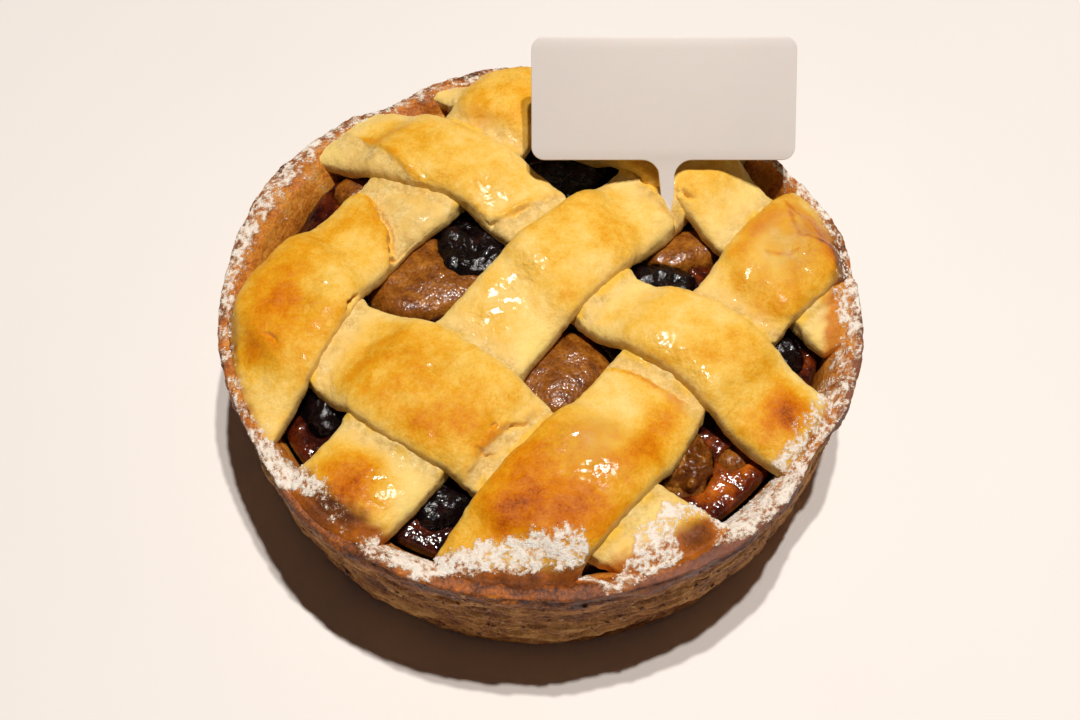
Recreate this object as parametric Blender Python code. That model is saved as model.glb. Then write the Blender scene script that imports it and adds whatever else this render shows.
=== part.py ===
"""A small round apple tart with a woven lattice lid and a blank name tag.

Metres, +Z up, origin at the middle of the base. -Y is the front. The pastry case is
turned, its rim is pressed down where the lattice strips lie on it, and the strips weave
over and under each other on top of the filling. Pieces of apple and dark fruit sit in
pockets of the filling and show through the gaps of the lattice.
"""

import math

import bmesh
import bpy
import numpy as np
from mathutils import Matrix, Vector, noise

MM = 0.001
GAP = 0.3 * MM  # clearance between neighbouring pieces
FLAT_SIDES = 60  # only the flat discs of the case have faces with this many sides or more

# Pastry case
RIM_RADIUS = 53.0 * MM
BASE_RADIUS = 46.8 * MM
RIM_HEIGHT = 29.8 * MM
WALL_THICKNESS = 5.6 * MM
INNER_EDGE = 25.2 * MM  # where the inside of the wall turns out into the rim
FLOOR_THICKNESS = 4.0 * MM
FOOT_ROUND = (1.6 * MM, 1.1 * MM, 0.9 * MM)  # swell at the foot, where it starts, its height
INNER_LIP = (1.6 * MM, 3.4 * MM)  # the rim's inner corner: how far out it starts and ends
OUTER_LIP = (0.6 * MM, 1.2 * MM)  # the rim's outer corner: how far in and down
SIDE_RINGS = (3.2, 7.2, 11.2, 15.2, 19.2, 22.6, 24.4, 26.2)  # heights on the side in mm
CASE_STEPS = 108
FILLING_STEPS = 44
FILLING_RINGS = 6
# Where the hand-made rim stands out or in: angle and half width in degrees, amount in mm
RIM_SWELLS = (
    (148.0, 14.0, 0.9),
    (17.0, 6.0, 0.9),
    (35.0, 12.0, -1.3),
    (-33.0, 10.0, -1.4),
    (-58.0, 12.0, 0.4),
    (-131.0, 10.0, 0.5),
    (-153.0, 12.0, -1.2),
)
RIM_DENT = (120.0, 7.0, -2.0)  # the rim is low between two strips at the back

# The dome that the lattice lies on: the filling inside, the pressed rim outside
BED_EDGE = 26.0 * MM
BED_DOME = 2.4 * MM

# Lattice strips
STRIP_THICKNESS = 3.9 * MM
PRESSED_THICKNESS = 2.5 * MM
STRIP_END_RADIUS = 52.3 * MM
STRIP_CELLS = 6  # faces across a strip
STRIP_CELL_LENGTH = 3.1 * MM
STEP_MARGIN = 1.0 * MM  # a strip stays at its crossing level this far past the crossing
STEP_LENGTH = 3.3 * MM
RIM_STEP = 2.4 * MM  # the rim rises over this length beside a strip
EDGE_SHARE = 0.42  # height of a strip's edge as a share of its thickness
PRESSED_EDGE_SHARE = 0.8
END_THINNING = 0.45  # share of its thickness that a strip loses at its very end
STRIP_UNEVENNESS = 0.35 * MM
CUT_EDGE_RISE = 0.16  # the underside of a cut edge curls up by this share of the thickness

# Surface relief of the case
LEDGE_DEPTH = 0.28 * MM
LEDGE_PITCH = 3.3 * MM
PATCH_DEPTH = 0.5 * MM
RIM_WAVE = 0.4 * MM
RIM_EDGE_DROP = 0.9 * MM  # the outer millimetre of the rim rounds down this far under a strip
RELIEF_SEED = 9.0

# Each strip: the strips that pass under it, and its middle line as (x, y, width) in mm
STRIPS = {
    "lattice_strip_a1": {
        "over": ("lattice_strip_b2", "lattice_strip_b0"),
        "line": (
            (-56.5, -32.5, 20.0),
            (-46.2, -15.6, 17.4),
            (-40.1, -1.4, 18.4),
            (-29.9, 13.6, 15.7),
            (-17.8, 26.7, 16.4),
            (-8.0, 37.9, 16.8),
            (-0.6, 49.5, 17.4),
            (2.5, 57.0, 18.0),
        ),
    },
    "lattice_strip_a2": {
        "over": ("lattice_strip_b1",),
        "line": (
            (-40.0, -46.5, 18.0),
            (-24.5, -30.0, 18.5),
            (-15.4, -16.6, 18.2),
            (-6.7, -5.8, 16.6),
            (2.1, 4.9, 16.8),
            (11.7, 14.4, 16.0),
            (20.1, 23.2, 14.8),
            (34.0, 42.0, 16.0),
        ),
    },
    "lattice_strip_a3": {
        "over": ("lattice_strip_b2", "lattice_strip_b0"),
        "line": (
            (-10.4, -57.4, 20.4),
            (-3.6, -44.6, 19.8),
            (4.1, -34.9, 19.3),
            (12.7, -25.5, 18.9),
            (20.8, -13.6, 15.9),
            (31.6, -3.1, 15.7),
            (40.0, 6.9, 17.9),
            (52.7, 19.3, 19.2),
        ),
    },
    "lattice_strip_b0": {
        "over": ("lattice_strip_a2",),
        "line": (
            (-20.0, 57.0, 16.0),
            (-12.0, 50.0, 16.0),
            (6.0, 41.5, 17.0),
            (20.0, 33.0, 16.0),
            (32.5, 19.5, 15.0),
            (42.3, 5.0, 12.5),
            (50.5, -7.0, 10.5),
        ),
    },
    "lattice_strip_b1": {
        "over": ("lattice_strip_a1", "lattice_strip_a3"),
        "line": (
            (-50.0, 40.5, 13.0),
            (-38.0, 37.3, 13.0),
            (-24.2, 32.7, 16.0),
            (-9.8, 25.2, 14.2),
            (1.4, 14.7, 13.5),
            (11.4, -0.6, 13.3),
            (26.4, -9.8, 15.3),
            (35.9, -19.9, 16.0),
            (50.0, -30.5, 16.0),
        ),
    },
    "lattice_strip_b2": {
        "over": ("lattice_strip_a2",),
        "line": (
            (-44.0, 3.5, 14.0),
            (-33.5, -7.1, 16.5),
            (-20.0, -16.5, 20.5),
            (-8.5, -24.5, 19.5),
            (3.0, -34.0, 17.0),
            (15.0, -41.0, 15.0),
            (28.0, -50.0, 17.0),
        ),
    },
}

# Fruit in the gaps: centre, half sizes and turn about Z, in mm and degrees
APPLES = (
    ((-18.5, 7.0, 24.4), (12.0, 8.0, 4.0), 20.0),
    ((3.5, -12.0, 24.6), (9.0, 7.0, 3.8), 48.0),
    ((22.6, -28.3, 23.9), (4.4, 5.4, 3.7), -10.0),
    ((30.8, -26.4, 22.8), (2.6, 3.8, 3.0), -40.0),
    ((24.5, 13.0, 24.6), (7.0, 4.2, 3.8), 15.0),
    ((-32.4, 27.0, 23.6), (3.0, 4.6, 3.4), -40.0),
)
# A dark fruit also names the piece of apple that it is pushed into, if any
DARK_FRUIT = (
    ((-11.6, 12.8, 25.2), (5.8, 6.4, 3.6), 10.0, 1),
    ((3.5, 28.5, 25.0), (8.5, 5.0, 3.4), 10.0, None),
    ((20.0, 5.6, 25.2), (6.0, 4.0, 3.2), -8.0, 5),
    ((39.2, -7.6, 23.6), (3.6, 4.2, 3.4), 20.0, None),
    ((-33.0, -18.0, 23.6), (5.2, 4.6, 3.5), 40.0, None),
    ((-14.6, -34.4, 23.5), (5.0, 4.0, 3.5), 25.0, None),
)
FRUIT_STEPS = 12
FRUIT_RINGS = 7
FRUIT_UNEVENNESS = 0.2  # how far a piece of fruit departs from even, as a share of its size

# Name tag: a plastic pick with a bare plate
TAG_WIDTH = 44.5 * MM
TAG_HEIGHT = 20.5 * MM
TAG_CORNER = 2.2 * MM
TAG_THICKNESS = 0.9 * MM
STEM_LENGTH = 6.2 * MM
STEM_FILLET = 3.0 * MM
STEM_SIDE = 0.8 * MM  # the stem stands this far to the right of the plate's middle
SPIKE_WIDTH = 1.9 * MM
SPIKE_LENGTH = 5.4 * MM
TAG_LEAN = math.radians(50.0)
TAG_FOOT = Vector((21.6, 19.5, 32.7)) * MM


def clear_scene():
    for obj in list(bpy.data.objects):
        bpy.data.objects.remove(obj, do_unlink=True)


def new_collection(name):
    collection = bpy.data.collections.new(name)
    bpy.context.scene.collection.children.link(collection)
    return collection


def new_material(name, color, roughness):
    material = bpy.data.materials.new(name)
    material.use_nodes = True
    shader = material.node_tree.nodes["Principled BSDF"]
    shader.inputs["Base Color"].default_value = (*color, 1.0)
    shader.inputs["Roughness"].default_value = roughness
    shader.inputs["Metallic"].default_value = 0.0
    return material


def add_object(name, bm, material, collection):
    bmesh.ops.recalc_face_normals(bm, faces=bm.faces)
    bent = [face for face in bm.faces if len(face.verts) < FLAT_SIDES]
    bmesh.ops.triangulate(bm, faces=bent)
    mesh = bpy.data.meshes.new(name)
    bm.to_mesh(mesh)
    bm.free()
    mesh.shade_smooth()
    mesh.materials.append(material)
    obj = bpy.data.objects.new(name, mesh)
    collection.objects.link(obj)
    return obj


def smooth_step(value):
    share = np.clip(value, 0.0, 1.0)
    return share * share * (3.0 - 2.0 * share)


def lumps(x, y, size, seed):
    """Soft unevenness from -1 to 1, with lumps of the given size."""
    place = [Vector((a / size, b / size, seed)) for a, b in zip(np.ravel(x), np.ravel(y))]
    return np.reshape([noise.noise(point) for point in place], np.shape(x))


def bed_height(x, y):
    return BED_EDGE + BED_DOME * (1.0 - (x * x + y * y) / RIM_RADIUS**2)


def bump(angle, middle, width, amount):
    """A smooth bump of the rim around an angle; degrees and millimetres."""
    turn = (np.degrees(angle) - middle + 180.0) % 360.0 - 180.0
    return amount * MM * np.exp(-((turn / width) ** 2))


def rim_swell(x, y):
    angle = np.arctan2(y, x)
    return sum(bump(angle, *swell) for swell in RIM_SWELLS)


# --- lattice strips -----------------------------------------------------------------


def flowing_line(stations, step=1.0 * MM):
    """Points and half widths of a smooth line through (x, y, width), a step apart."""
    stations = np.array(stations) * MM
    pace = np.linalg.norm(np.diff(stations[:, :2], axis=0), axis=1)
    along = np.concatenate([[0.0], np.cumsum(pace)])
    slope = np.gradient(stations, along, axis=0)
    read = np.arange(0.0, along[-1], step)
    cell = np.searchsorted(along, read, side="right") - 1
    span = pace[cell][:, None]
    part = (read - along[cell])[:, None] / span
    start = (1.0 + 2.0 * part) * (1.0 - part) ** 2 * stations[cell]
    end = part**2 * (3.0 - 2.0 * part) * stations[cell + 1]
    leave = part * (1.0 - part) ** 2 * span * slope[cell]
    arrive = part**2 * (part - 1.0) * span * slope[cell + 1]
    points = start + end + leave + arrive
    return points[:, :2], points[:, 2] / 2.0


LINES = {name: flowing_line(strip["line"]) for name, strip in STRIPS.items()}


def beyond_edge(name, x, y):
    """Distance outside a strip's outline; negative inside it."""
    points, half_widths = LINES[name]
    away = np.hypot(np.ravel(x)[:, None] - points[:, 0], np.ravel(y)[:, None] - points[:, 1])
    nearest = away.argmin(axis=1)
    beyond = away[np.arange(len(nearest)), nearest] - half_widths[nearest]
    return np.reshape(beyond, np.shape(x))


def crossing(names, x, y, length=STEP_LENGTH):
    """1 where one of the strips crosses, falling smoothly to 0 over a length beside them."""
    level = np.zeros(np.shape(x))
    for name in names:
        beyond = beyond_edge(name, x, y) - STEP_MARGIN
        level = np.maximum(level, 1.0 - smooth_step(beyond / length))
    return level


def lengthwise_line(name, across, count):
    """Points along a strip at a place across it, from rim to rim, evenly spaced."""
    points, half_widths = LINES[name]
    heading = np.gradient(points, axis=0)
    heading /= np.linalg.norm(heading, axis=1)[:, None]
    side = np.stack([-heading[:, 1], heading[:, 0]], axis=1)
    line = points + side * (across * half_widths)[:, None]
    inside = np.flatnonzero(np.hypot(*line.T) < STRIP_END_RADIUS + rim_swell(*line.T))
    line = line[inside[0] : inside[-1] + 1]
    travelled = np.concatenate([[0.0], np.cumsum(np.linalg.norm(np.diff(line, axis=0), axis=1))])
    read = np.linspace(0.0, travelled[-1], count)
    return np.stack([np.interp(read, travelled, line[:, axis]) for axis in (0, 1)], axis=1)


def strip_surfaces(name, seed):
    """Grids of x, y, lower z and upper z, lengthwise by across."""
    points, _ = LINES[name]
    length = np.count_nonzero(np.hypot(*points.T) < STRIP_END_RADIUS) * MM
    rows = int(round(length / STRIP_CELL_LENGTH)) + 1
    across = np.sin(np.linspace(-math.pi / 2.0, math.pi / 2.0, STRIP_CELLS + 1))
    grid = np.stack([lengthwise_line(name, place, rows) for place in across], axis=1)
    x, y = grid[..., 0], grid[..., 1]

    above = [other for other, strip in STRIPS.items() if name in strip["over"]]
    pressed = crossing(above, x, y)
    lifted = crossing(STRIPS[name]["over"], x, y) * (1.0 - pressed)
    thickness = STRIP_THICKNESS + (PRESSED_THICKNESS - STRIP_THICKNESS) * pressed

    edge = EDGE_SHARE + (PRESSED_EDGE_SHARE - EDGE_SHARE) * pressed
    crown = edge + (1.0 - edge) * np.sqrt(1.0 - across**4)
    end = np.minimum(np.arange(rows), np.arange(rows)[::-1])[:, None]
    end_taper = 1.0 - END_THINNING * np.maximum(0.0, 1.0 - end / 2.0) ** 2
    uneven = STRIP_UNEVENNESS * lumps(x, y, 11.0 * MM, seed) * (1.0 - pressed)

    lower = bed_height(x, y) + GAP + (PRESSED_THICKNESS + GAP) * lifted
    upper = lower + thickness * crown * end_taper + uneven
    lower = lower + CUT_EDGE_RISE * thickness * (np.abs(across) > 0.99)
    return x, y, lower, upper


def add_strip(name, seed, material, collection):
    """A slab of quads, its two faces set to the strip's lower and upper surface."""
    x, y, lower, upper = strip_surfaces(name, seed)
    rows, columns = x.shape
    bm = bmesh.new()
    bmesh.ops.create_grid(bm, x_segments=rows - 1, y_segments=columns - 1, size=1.0)
    grown = bmesh.ops.extrude_face_region(bm, geom=bm.faces[:])
    raised = {item for item in grown["geom"] if isinstance(item, bmesh.types.BMVert)}
    for vert in bm.verts:
        row = round((vert.co.x + 1.0) / 2.0 * (rows - 1))
        column = round((vert.co.y + 1.0) / 2.0 * (columns - 1))
        height = upper if vert in raised else lower
        vert.co = (x[row, column], y[row, column], height[row, column])
    return add_object(name, bm, material, collection)


# --- pastry case and filling --------------------------------------------------------


def turned(profile, steps):
    """A closed body from a profile of (radius, z), top of the inside first."""
    bm = bmesh.new()
    verts = [bm.verts.new((radius, 0.0, z)) for radius, z in profile]
    edges = [bm.edges.new(pair) for pair in zip(verts, verts[1:])]
    bmesh.ops.spin(
        bm,
        geom=verts + edges,
        axis=(0.0, 0.0, 1.0),
        cent=(0.0, 0.0, 0.0),
        angle=math.tau,
        steps=steps,
        use_merge=True,
    )
    bmesh.ops.remove_doubles(bm, verts=bm.verts, dist=0.001 * MM)
    rims = [edge for edge in bm.edges if edge.is_boundary]
    bmesh.ops.holes_fill(bm, edges=rims, sides=0)
    return bm


def inner_radius(z):
    """The inside of the case widens evenly from its floor to just under the rim."""
    share = (z - FLOOR_THICKNESS) / (INNER_EDGE - FLOOR_THICKNESS)
    narrow = BASE_RADIUS - WALL_THICKNESS
    return narrow + (RIM_RADIUS - BASE_RADIUS) * share


def case_profile():
    """The case's section: up the inside, over the rim and down the outside."""
    foot_swell, foot_start, foot_height = FOOT_ROUND
    foot = BASE_RADIUS + foot_swell
    inner_top = inner_radius(INNER_EDGE)
    lip_start, lip_end = INNER_LIP
    lip_in, lip_down = OUTER_LIP
    profile = [
        (inner_radius(FLOOR_THICKNESS), FLOOR_THICKNESS),
        (inner_top, INNER_EDGE),
        (inner_top + lip_start, RIM_HEIGHT - lip_start),
        (inner_top + lip_end, RIM_HEIGHT),
        (RIM_RADIUS - lip_in, RIM_HEIGHT - 0.1 * MM),
        (RIM_RADIUS, RIM_HEIGHT - lip_down),
    ]
    for z in reversed(SIDE_RINGS):
        profile.append((foot + (RIM_RADIUS - foot) * z * MM / RIM_HEIGHT, z * MM))
    profile += [(BASE_RADIUS + foot_start, foot_height), (BASE_RADIUS, 0.0)]
    return profile


def side_relief(angle, z):
    """Flaky layers of the baked side: shallow ledges that wander up and down."""
    around = Vector((math.cos(angle), math.sin(angle), 0.0))
    wander = 1.5 * MM * noise.noise(around * 2.0 + Vector((0.0, 0.0, RELIEF_SEED)))
    ledge = math.sin(math.tau * (z + wander) / LEDGE_PITCH)
    patch = noise.noise(around * 9.0 + Vector((0.0, 0.0, z / (7.0 * MM))))
    return LEDGE_DEPTH * ledge + PATCH_DEPTH * patch


def shape_case(bm):
    """Press the rim down under the strips and roughen the outside."""
    verts = bm.verts[:]
    x = np.array([vert.co.x for vert in verts])
    y = np.array([vert.co.y for vert in verts])
    under = crossing(STRIPS, x, y, RIM_STEP)
    for vert, pressed in zip(verts, under):
        radius = math.hypot(vert.co.x, vert.co.y)
        angle = math.atan2(vert.co.y, vert.co.x)
        if vert.co.z > RIM_HEIGHT - 2.0 * MM:
            low = min(vert.co.z, bed_height(vert.co.x, vert.co.y))
            edge_drop = RIM_EDGE_DROP * smooth_step((radius - RIM_RADIUS + 1.0 * MM) / MM)
            vert.co.z += (low - edge_drop - vert.co.z) * pressed
            wave = noise.noise(Vector((math.cos(angle) * 4.0, math.sin(angle) * 4.0, 2.0)))
            vert.co.z += (RIM_WAVE * wave + bump(angle, *RIM_DENT)) * (1.0 - pressed)
        elif vert.co.z > 2.0 * MM and radius > inner_radius(vert.co.z) + WALL_THICKNESS / 2.0:
            radius += side_relief(angle, vert.co.z)
        if radius > RIM_RADIUS - 2.5 * MM and vert.co.z > RIM_HEIGHT - 8.0 * MM:
            radius += rim_swell(vert.co.x, vert.co.y)
        vert.co.x = radius * math.cos(angle)
        vert.co.y = radius * math.sin(angle)


def add_case(material, collection):
    bm = turned(case_profile(), CASE_STEPS)
    shape_case(bm)
    return add_object("tart_shell", bm, material, collection)


def add_filling(material, collection):
    """The baked filling, with a lumpy top that stays under the lattice."""
    clear = 1.5 * GAP
    top = INNER_EDGE
    shoulder = top - 3.0 * MM
    bottom = FLOOR_THICKNESS + GAP
    widest = inner_radius(top) - clear
    last = FILLING_RINGS + 0.6
    profile = [(widest * (ring + 0.6) / last, top) for ring in range(FILLING_RINGS + 1)]
    profile += [(inner_radius(z) - clear, z) for z in (shoulder, bottom)]
    bm = turned(profile, FILLING_STEPS)
    for vert in bm.verts:
        if vert.co.z > top - 0.1 * MM:
            sink = 1.1 * MM * (1.0 + lumps(vert.co.x, vert.co.y, 8.0 * MM, 3.0))
            vert.co.z = bed_height(vert.co.x, vert.co.y) - GAP - float(sink)
    return add_object("apple_filling", bm, material, collection)


# --- fruit --------------------------------------------------------------------------


def fruit_mesh(place, sizes, turn, seed, grown=0.0):
    """A lumpy rounded piece; a grown one is the pocket that it sits in."""
    bm = bmesh.new()
    bmesh.ops.create_uvsphere(bm, u_segments=FRUIT_STEPS, v_segments=FRUIT_RINGS, radius=1.0)
    half_sizes = [size * MM for size in sizes]
    for vert in bm.verts:
        way = vert.co.normalized()
        box_like = 1.0 / max(1e-6, sum(abs(part) ** 3.0 for part in way) ** (1.0 / 3.0))
        lump = 1.0 + FRUIT_UNEVENNESS * noise.noise(way * 2.1 + Vector((seed, 0.0, 0.0)))
        stretch = box_like * lump
        vert.co = [way[axis] * (half_sizes[axis] * stretch + grown) for axis in range(3)]
    centre = Vector(place) * MM
    placed = Matrix.Translation(centre) @ Matrix.Rotation(math.radians(turn), 4, "Z")
    bmesh.ops.transform(bm, matrix=placed, verts=bm.verts)
    for vert in bm.verts:
        ceiling = bed_height(vert.co.x, vert.co.y) - 0.1 * MM + grown
        vert.co.z = min(vert.co.z, ceiling)
    return bm


def add_apples(material, collection, cutters, filling):
    """Slices and chunks, each in a pocket of the filling."""
    apples = []
    for number, (place, sizes, turn) in enumerate(APPLES, start=1):
        name = f"apple_piece_{number}"
        seed = number * 3.7
        apples.append(add_object(name, fruit_mesh(place, sizes, turn, seed), material, collection))
        pocket = fruit_mesh(place, sizes, turn, seed, grown=GAP)
        cut_with(filling, add_object(f"{name}_pocket", pocket, material, cutters))
    return apples


def add_dark_fruit(material, collection, cutters, filling, apples):
    """Dark fruit, in pockets of the filling and of the apple that they are pushed into."""
    for number, (place, sizes, turn, apple) in enumerate(DARK_FRUIT, start=1):
        name = f"dark_fruit_{number}"
        seed = 60.0 + number * 3.7
        add_object(name, fruit_mesh(place, sizes, turn, seed), material, collection)
        pocket = fruit_mesh(place, sizes, turn, seed, grown=GAP)
        cutter = add_object(f"{name}_pocket", pocket, material, cutters)
        cut_with(filling, cutter)
        if apple:
            cut_with(apples[apple - 1], cutter)


def cut_with(obj, cutter):
    cutter.hide_render = True
    cutter.display_type = "WIRE"
    cut = obj.modifiers.new(f"cut_{cutter.name}", "BOOLEAN")
    cut.operation = "DIFFERENCE"
    cut.object = cutter


# --- name tag -----------------------------------------------------------------------


def arc(centre_x, centre_y, radius, start, end, steps=4):
    """Points on an arc, in degrees from +X."""
    angles = np.radians(np.linspace(start, end, steps + 1))
    return [(centre_x + radius * math.cos(a), centre_y + radius * math.sin(a)) for a in angles]


def tag_outline():
    """The pick seen from the front, with its foot at the origin and Y up the plate."""
    left = -TAG_WIDTH / 2.0 - STEM_SIDE
    right = TAG_WIDTH / 2.0 - STEM_SIDE
    bottom = STEM_LENGTH
    top = bottom + TAG_HEIGHT
    corner = TAG_CORNER
    fillet = STEM_FILLET
    half_stem = SPIKE_WIDTH / 2.0 + 0.15 * MM
    outline = arc(right - corner, bottom + corner, corner, -90.0, 0.0)
    outline += arc(right - corner, top - corner, corner, 0.0, 90.0)
    outline += arc(left + corner, top - corner, corner, 90.0, 180.0)
    outline += arc(left + corner, bottom + corner, corner, 180.0, 270.0)
    outline += arc(-half_stem - fillet * 1.1, bottom - fillet, fillet, 90.0, 20.0)
    outline += [(-half_stem, 0.0), (0.0, -SPIKE_LENGTH), (half_stem, 0.0)]
    outline += arc(half_stem + fillet, bottom - fillet, fillet, 180.0, 90.0)
    return outline


def add_tag(material, collection):
    curve = bpy.data.curves.new("name_tag", "CURVE")
    curve.dimensions = "2D"
    curve.fill_mode = "BOTH"
    curve.extrude = TAG_THICKNESS / 2.0
    outline = tag_outline()
    spline = curve.splines.new("POLY")
    spline.points.add(len(outline) - 1)
    for point, (x, y) in zip(spline.points, outline):
        point.co = (x, y, 0.0, 1.0)
    spline.use_cyclic_u = True
    flat = bpy.data.objects.new("flat_tag", curve)
    bpy.context.scene.collection.objects.link(flat)
    bpy.context.view_layer.update()
    evaluated = flat.evaluated_get(bpy.context.evaluated_depsgraph_get())
    mesh = bpy.data.meshes.new_from_object(evaluated)
    bpy.data.objects.remove(flat, do_unlink=True)

    bm = bmesh.new()
    bm.from_mesh(mesh)
    bpy.data.meshes.remove(mesh)
    bmesh.ops.remove_doubles(bm, verts=bm.verts, dist=0.005 * MM)
    stand = Matrix.Translation(TAG_FOOT) @ Matrix.Rotation(math.pi / 2.0 - TAG_LEAN, 4, "X")
    bmesh.ops.transform(bm, matrix=stand, verts=bm.verts)
    return add_object("name_tag", bm, material, collection)


def spike_slot(material, cutters):
    """The slot that the spike makes in the strips, a gap wider than the spike."""
    bm = bmesh.new()
    bmesh.ops.create_cube(bm, size=1.0)
    wide = SPIKE_WIDTH + 2.0 * GAP + 0.5 * MM
    deep = TAG_THICKNESS + 2.0 * GAP
    below = SPIKE_LENGTH + GAP
    above = STEM_LENGTH / 2.0
    bmesh.ops.scale(bm, vec=(wide, below + above, deep), verts=bm.verts)
    bmesh.ops.translate(bm, vec=(0.0, (above - below) / 2.0, 0.0), verts=bm.verts)
    stand = Matrix.Translation(TAG_FOOT) @ Matrix.Rotation(math.pi / 2.0 - TAG_LEAN, 4, "X")
    bmesh.ops.transform(bm, matrix=stand, verts=bm.verts)
    return add_object("spike_slot", bm, material, cutters)


def build():
    clear_scene()
    parts = new_collection("apple_tart")
    cutters = new_collection("cutters")
    crust = new_material("golden_crust", (0.78, 0.47, 0.14), 0.45)
    case_crust = new_material("baked_case", (0.52, 0.29, 0.12), 0.7)
    jelly = new_material("dark_jelly", (0.16, 0.035, 0.015), 0.2)
    cooked_apple = new_material("cooked_apple", (0.42, 0.2, 0.06), 0.35)
    dark_skin = new_material("dark_fruit", (0.02, 0.01, 0.012), 0.25)
    white_plastic = new_material("white_plastic", (0.86, 0.83, 0.8), 0.35)

    add_case(case_crust, parts)
    filling = add_filling(jelly, parts)
    apples = add_apples(cooked_apple, parts, cutters, filling)
    add_dark_fruit(dark_skin, parts, cutters, filling, apples)
    strips = {
        name: add_strip(name, 5.0 + number * 7.0, crust, parts)
        for number, name in enumerate(STRIPS)
    }
    add_tag(white_plastic, parts)
    slot = spike_slot(white_plastic, cutters)
    for name in ("lattice_strip_a2", "lattice_strip_b0"):
        cut_with(strips[name], slot)


build()
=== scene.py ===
"""The looks of a small round apple tart with a woven lattice lid and a blank name tag.

Metres, +Z up. -Y is the front, where the camera stands.
"""
import itertools
import math

import bpy
import numpy as np
from mathutils import Matrix, Vector
from mathutils.bvhtree import BVHTree
from mathutils.kdtree import KDTree


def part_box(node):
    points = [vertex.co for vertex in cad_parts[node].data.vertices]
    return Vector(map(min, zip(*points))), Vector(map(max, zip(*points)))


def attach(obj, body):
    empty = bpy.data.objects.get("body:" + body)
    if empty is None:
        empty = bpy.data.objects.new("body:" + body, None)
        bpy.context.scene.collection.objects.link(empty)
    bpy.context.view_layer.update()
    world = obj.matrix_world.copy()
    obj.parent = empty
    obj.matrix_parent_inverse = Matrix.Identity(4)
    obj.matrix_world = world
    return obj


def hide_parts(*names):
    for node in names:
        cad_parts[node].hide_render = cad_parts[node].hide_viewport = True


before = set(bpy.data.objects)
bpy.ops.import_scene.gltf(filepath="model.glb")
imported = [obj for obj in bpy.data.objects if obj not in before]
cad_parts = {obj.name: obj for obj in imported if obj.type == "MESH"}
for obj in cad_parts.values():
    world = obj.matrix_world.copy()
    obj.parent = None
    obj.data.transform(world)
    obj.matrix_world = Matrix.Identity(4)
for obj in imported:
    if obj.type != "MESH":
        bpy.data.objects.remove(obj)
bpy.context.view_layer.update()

bpy.ops.object.select_all(action="DESELECT")

# --- Pastry case ------------------------------------------------------------------------
# A round case of shortcrust, pressed into a ring, filled and baked until its side is dry
# and flaky. Its rim is pinched to the strips of the lid and dusted with icing sugar.

MM = 0.001
RIM_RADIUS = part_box("tart_shell")[1].x
CASE_STEPS = 700
BASE_RADIUS = 46.8 * MM
FOOT_HEIGHT = 0.9 * MM
FLOOR_HEIGHT = 4.0 * MM
FLOOR_RADIUS = 41.2 * MM
INNER_EDGE = (47.4 * MM, 25.2 * MM)
# The least height of the rim from its inner edge outwards, also where a strip's end lies on it,
# and the angle, half width and depth of its dents at the back and at the front left
RIM_SECTION = ((47.4 * MM, 25.2 * MM), (49.0 * MM, 27.9 * MM), (50.8 * MM, 29.3 * MM))
RIM_DENTS = ((120.0, 7.0, 2.0 * MM), (-129.0, 9.0, 1.3 * MM))
SIDE_READ_TO = 24.0 * MM  # above this height the side runs on at the same slope
SIDE_SLOPE = 0.19
READ_OUT = 80.0 * MM  # how far out, and how high, the rays that read the solid start
READ_ABOVE = 50.0 * MM
BASE_SHARES = (0.02, 0.3, 0.6, 0.85, 0.96, 1.0)  # the rings of the base, as shares of its radius
SIDE_RINGS = 72
LIP_RINGS = 5
LIP_IN = 0.7 * MM
LIP_DOWN = 1.0 * MM
TOP_RINGS = 27
INSIDE_RINGS = 7
FLOOR_RINGS = 5
# The layers of the side: pitch, how far each stands out, how far it wanders, over what length
LAYERS = (
    (5.2 * MM, 0.55 * MM, 1.6 * MM, 16.0 * MM),
    (1.7 * MM, 0.34 * MM, 0.9 * MM, 7.0 * MM),
)
CRUMB_RELIEF = ((2.4 * MM, 0.30 * MM), (1.2 * MM, 0.20 * MM), (0.7 * MM, 0.10 * MM))
RIM_RELIEF = ((3.4 * MM, 0.30 * MM), (1.3 * MM, 0.18 * MM), (0.6 * MM, 0.10 * MM))
SUGAR_RELIEF = 0.12 * MM
# Where each part of the case starts, and where it is there in full
PASTRY_RADIUS = (46.0 * MM, 47.5 * MM)
WALL_RADIUS = (46.0 * MM, 47.0 * MM)
WALL_FOOT = (0.4 * MM, 1.6 * MM)
UPPER_PART = (20.0 * MM, 22.0 * MM)
LIP_RADIUS = (50.9 * MM, 52.2 * MM)
LIP_HEIGHT = (23.0 * MM, 25.0 * MM)
DARK_LIP_HEIGHT = (25.0 * MM, 26.0 * MM)
CASE_BAKE = 0.44  # how brown the case is baked, from 0 to 1
LIP_BAKE = 0.26  # how much browner its lip is, and how much darker its side is towards the foot
FOOT_DARKENING = 0.26

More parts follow.
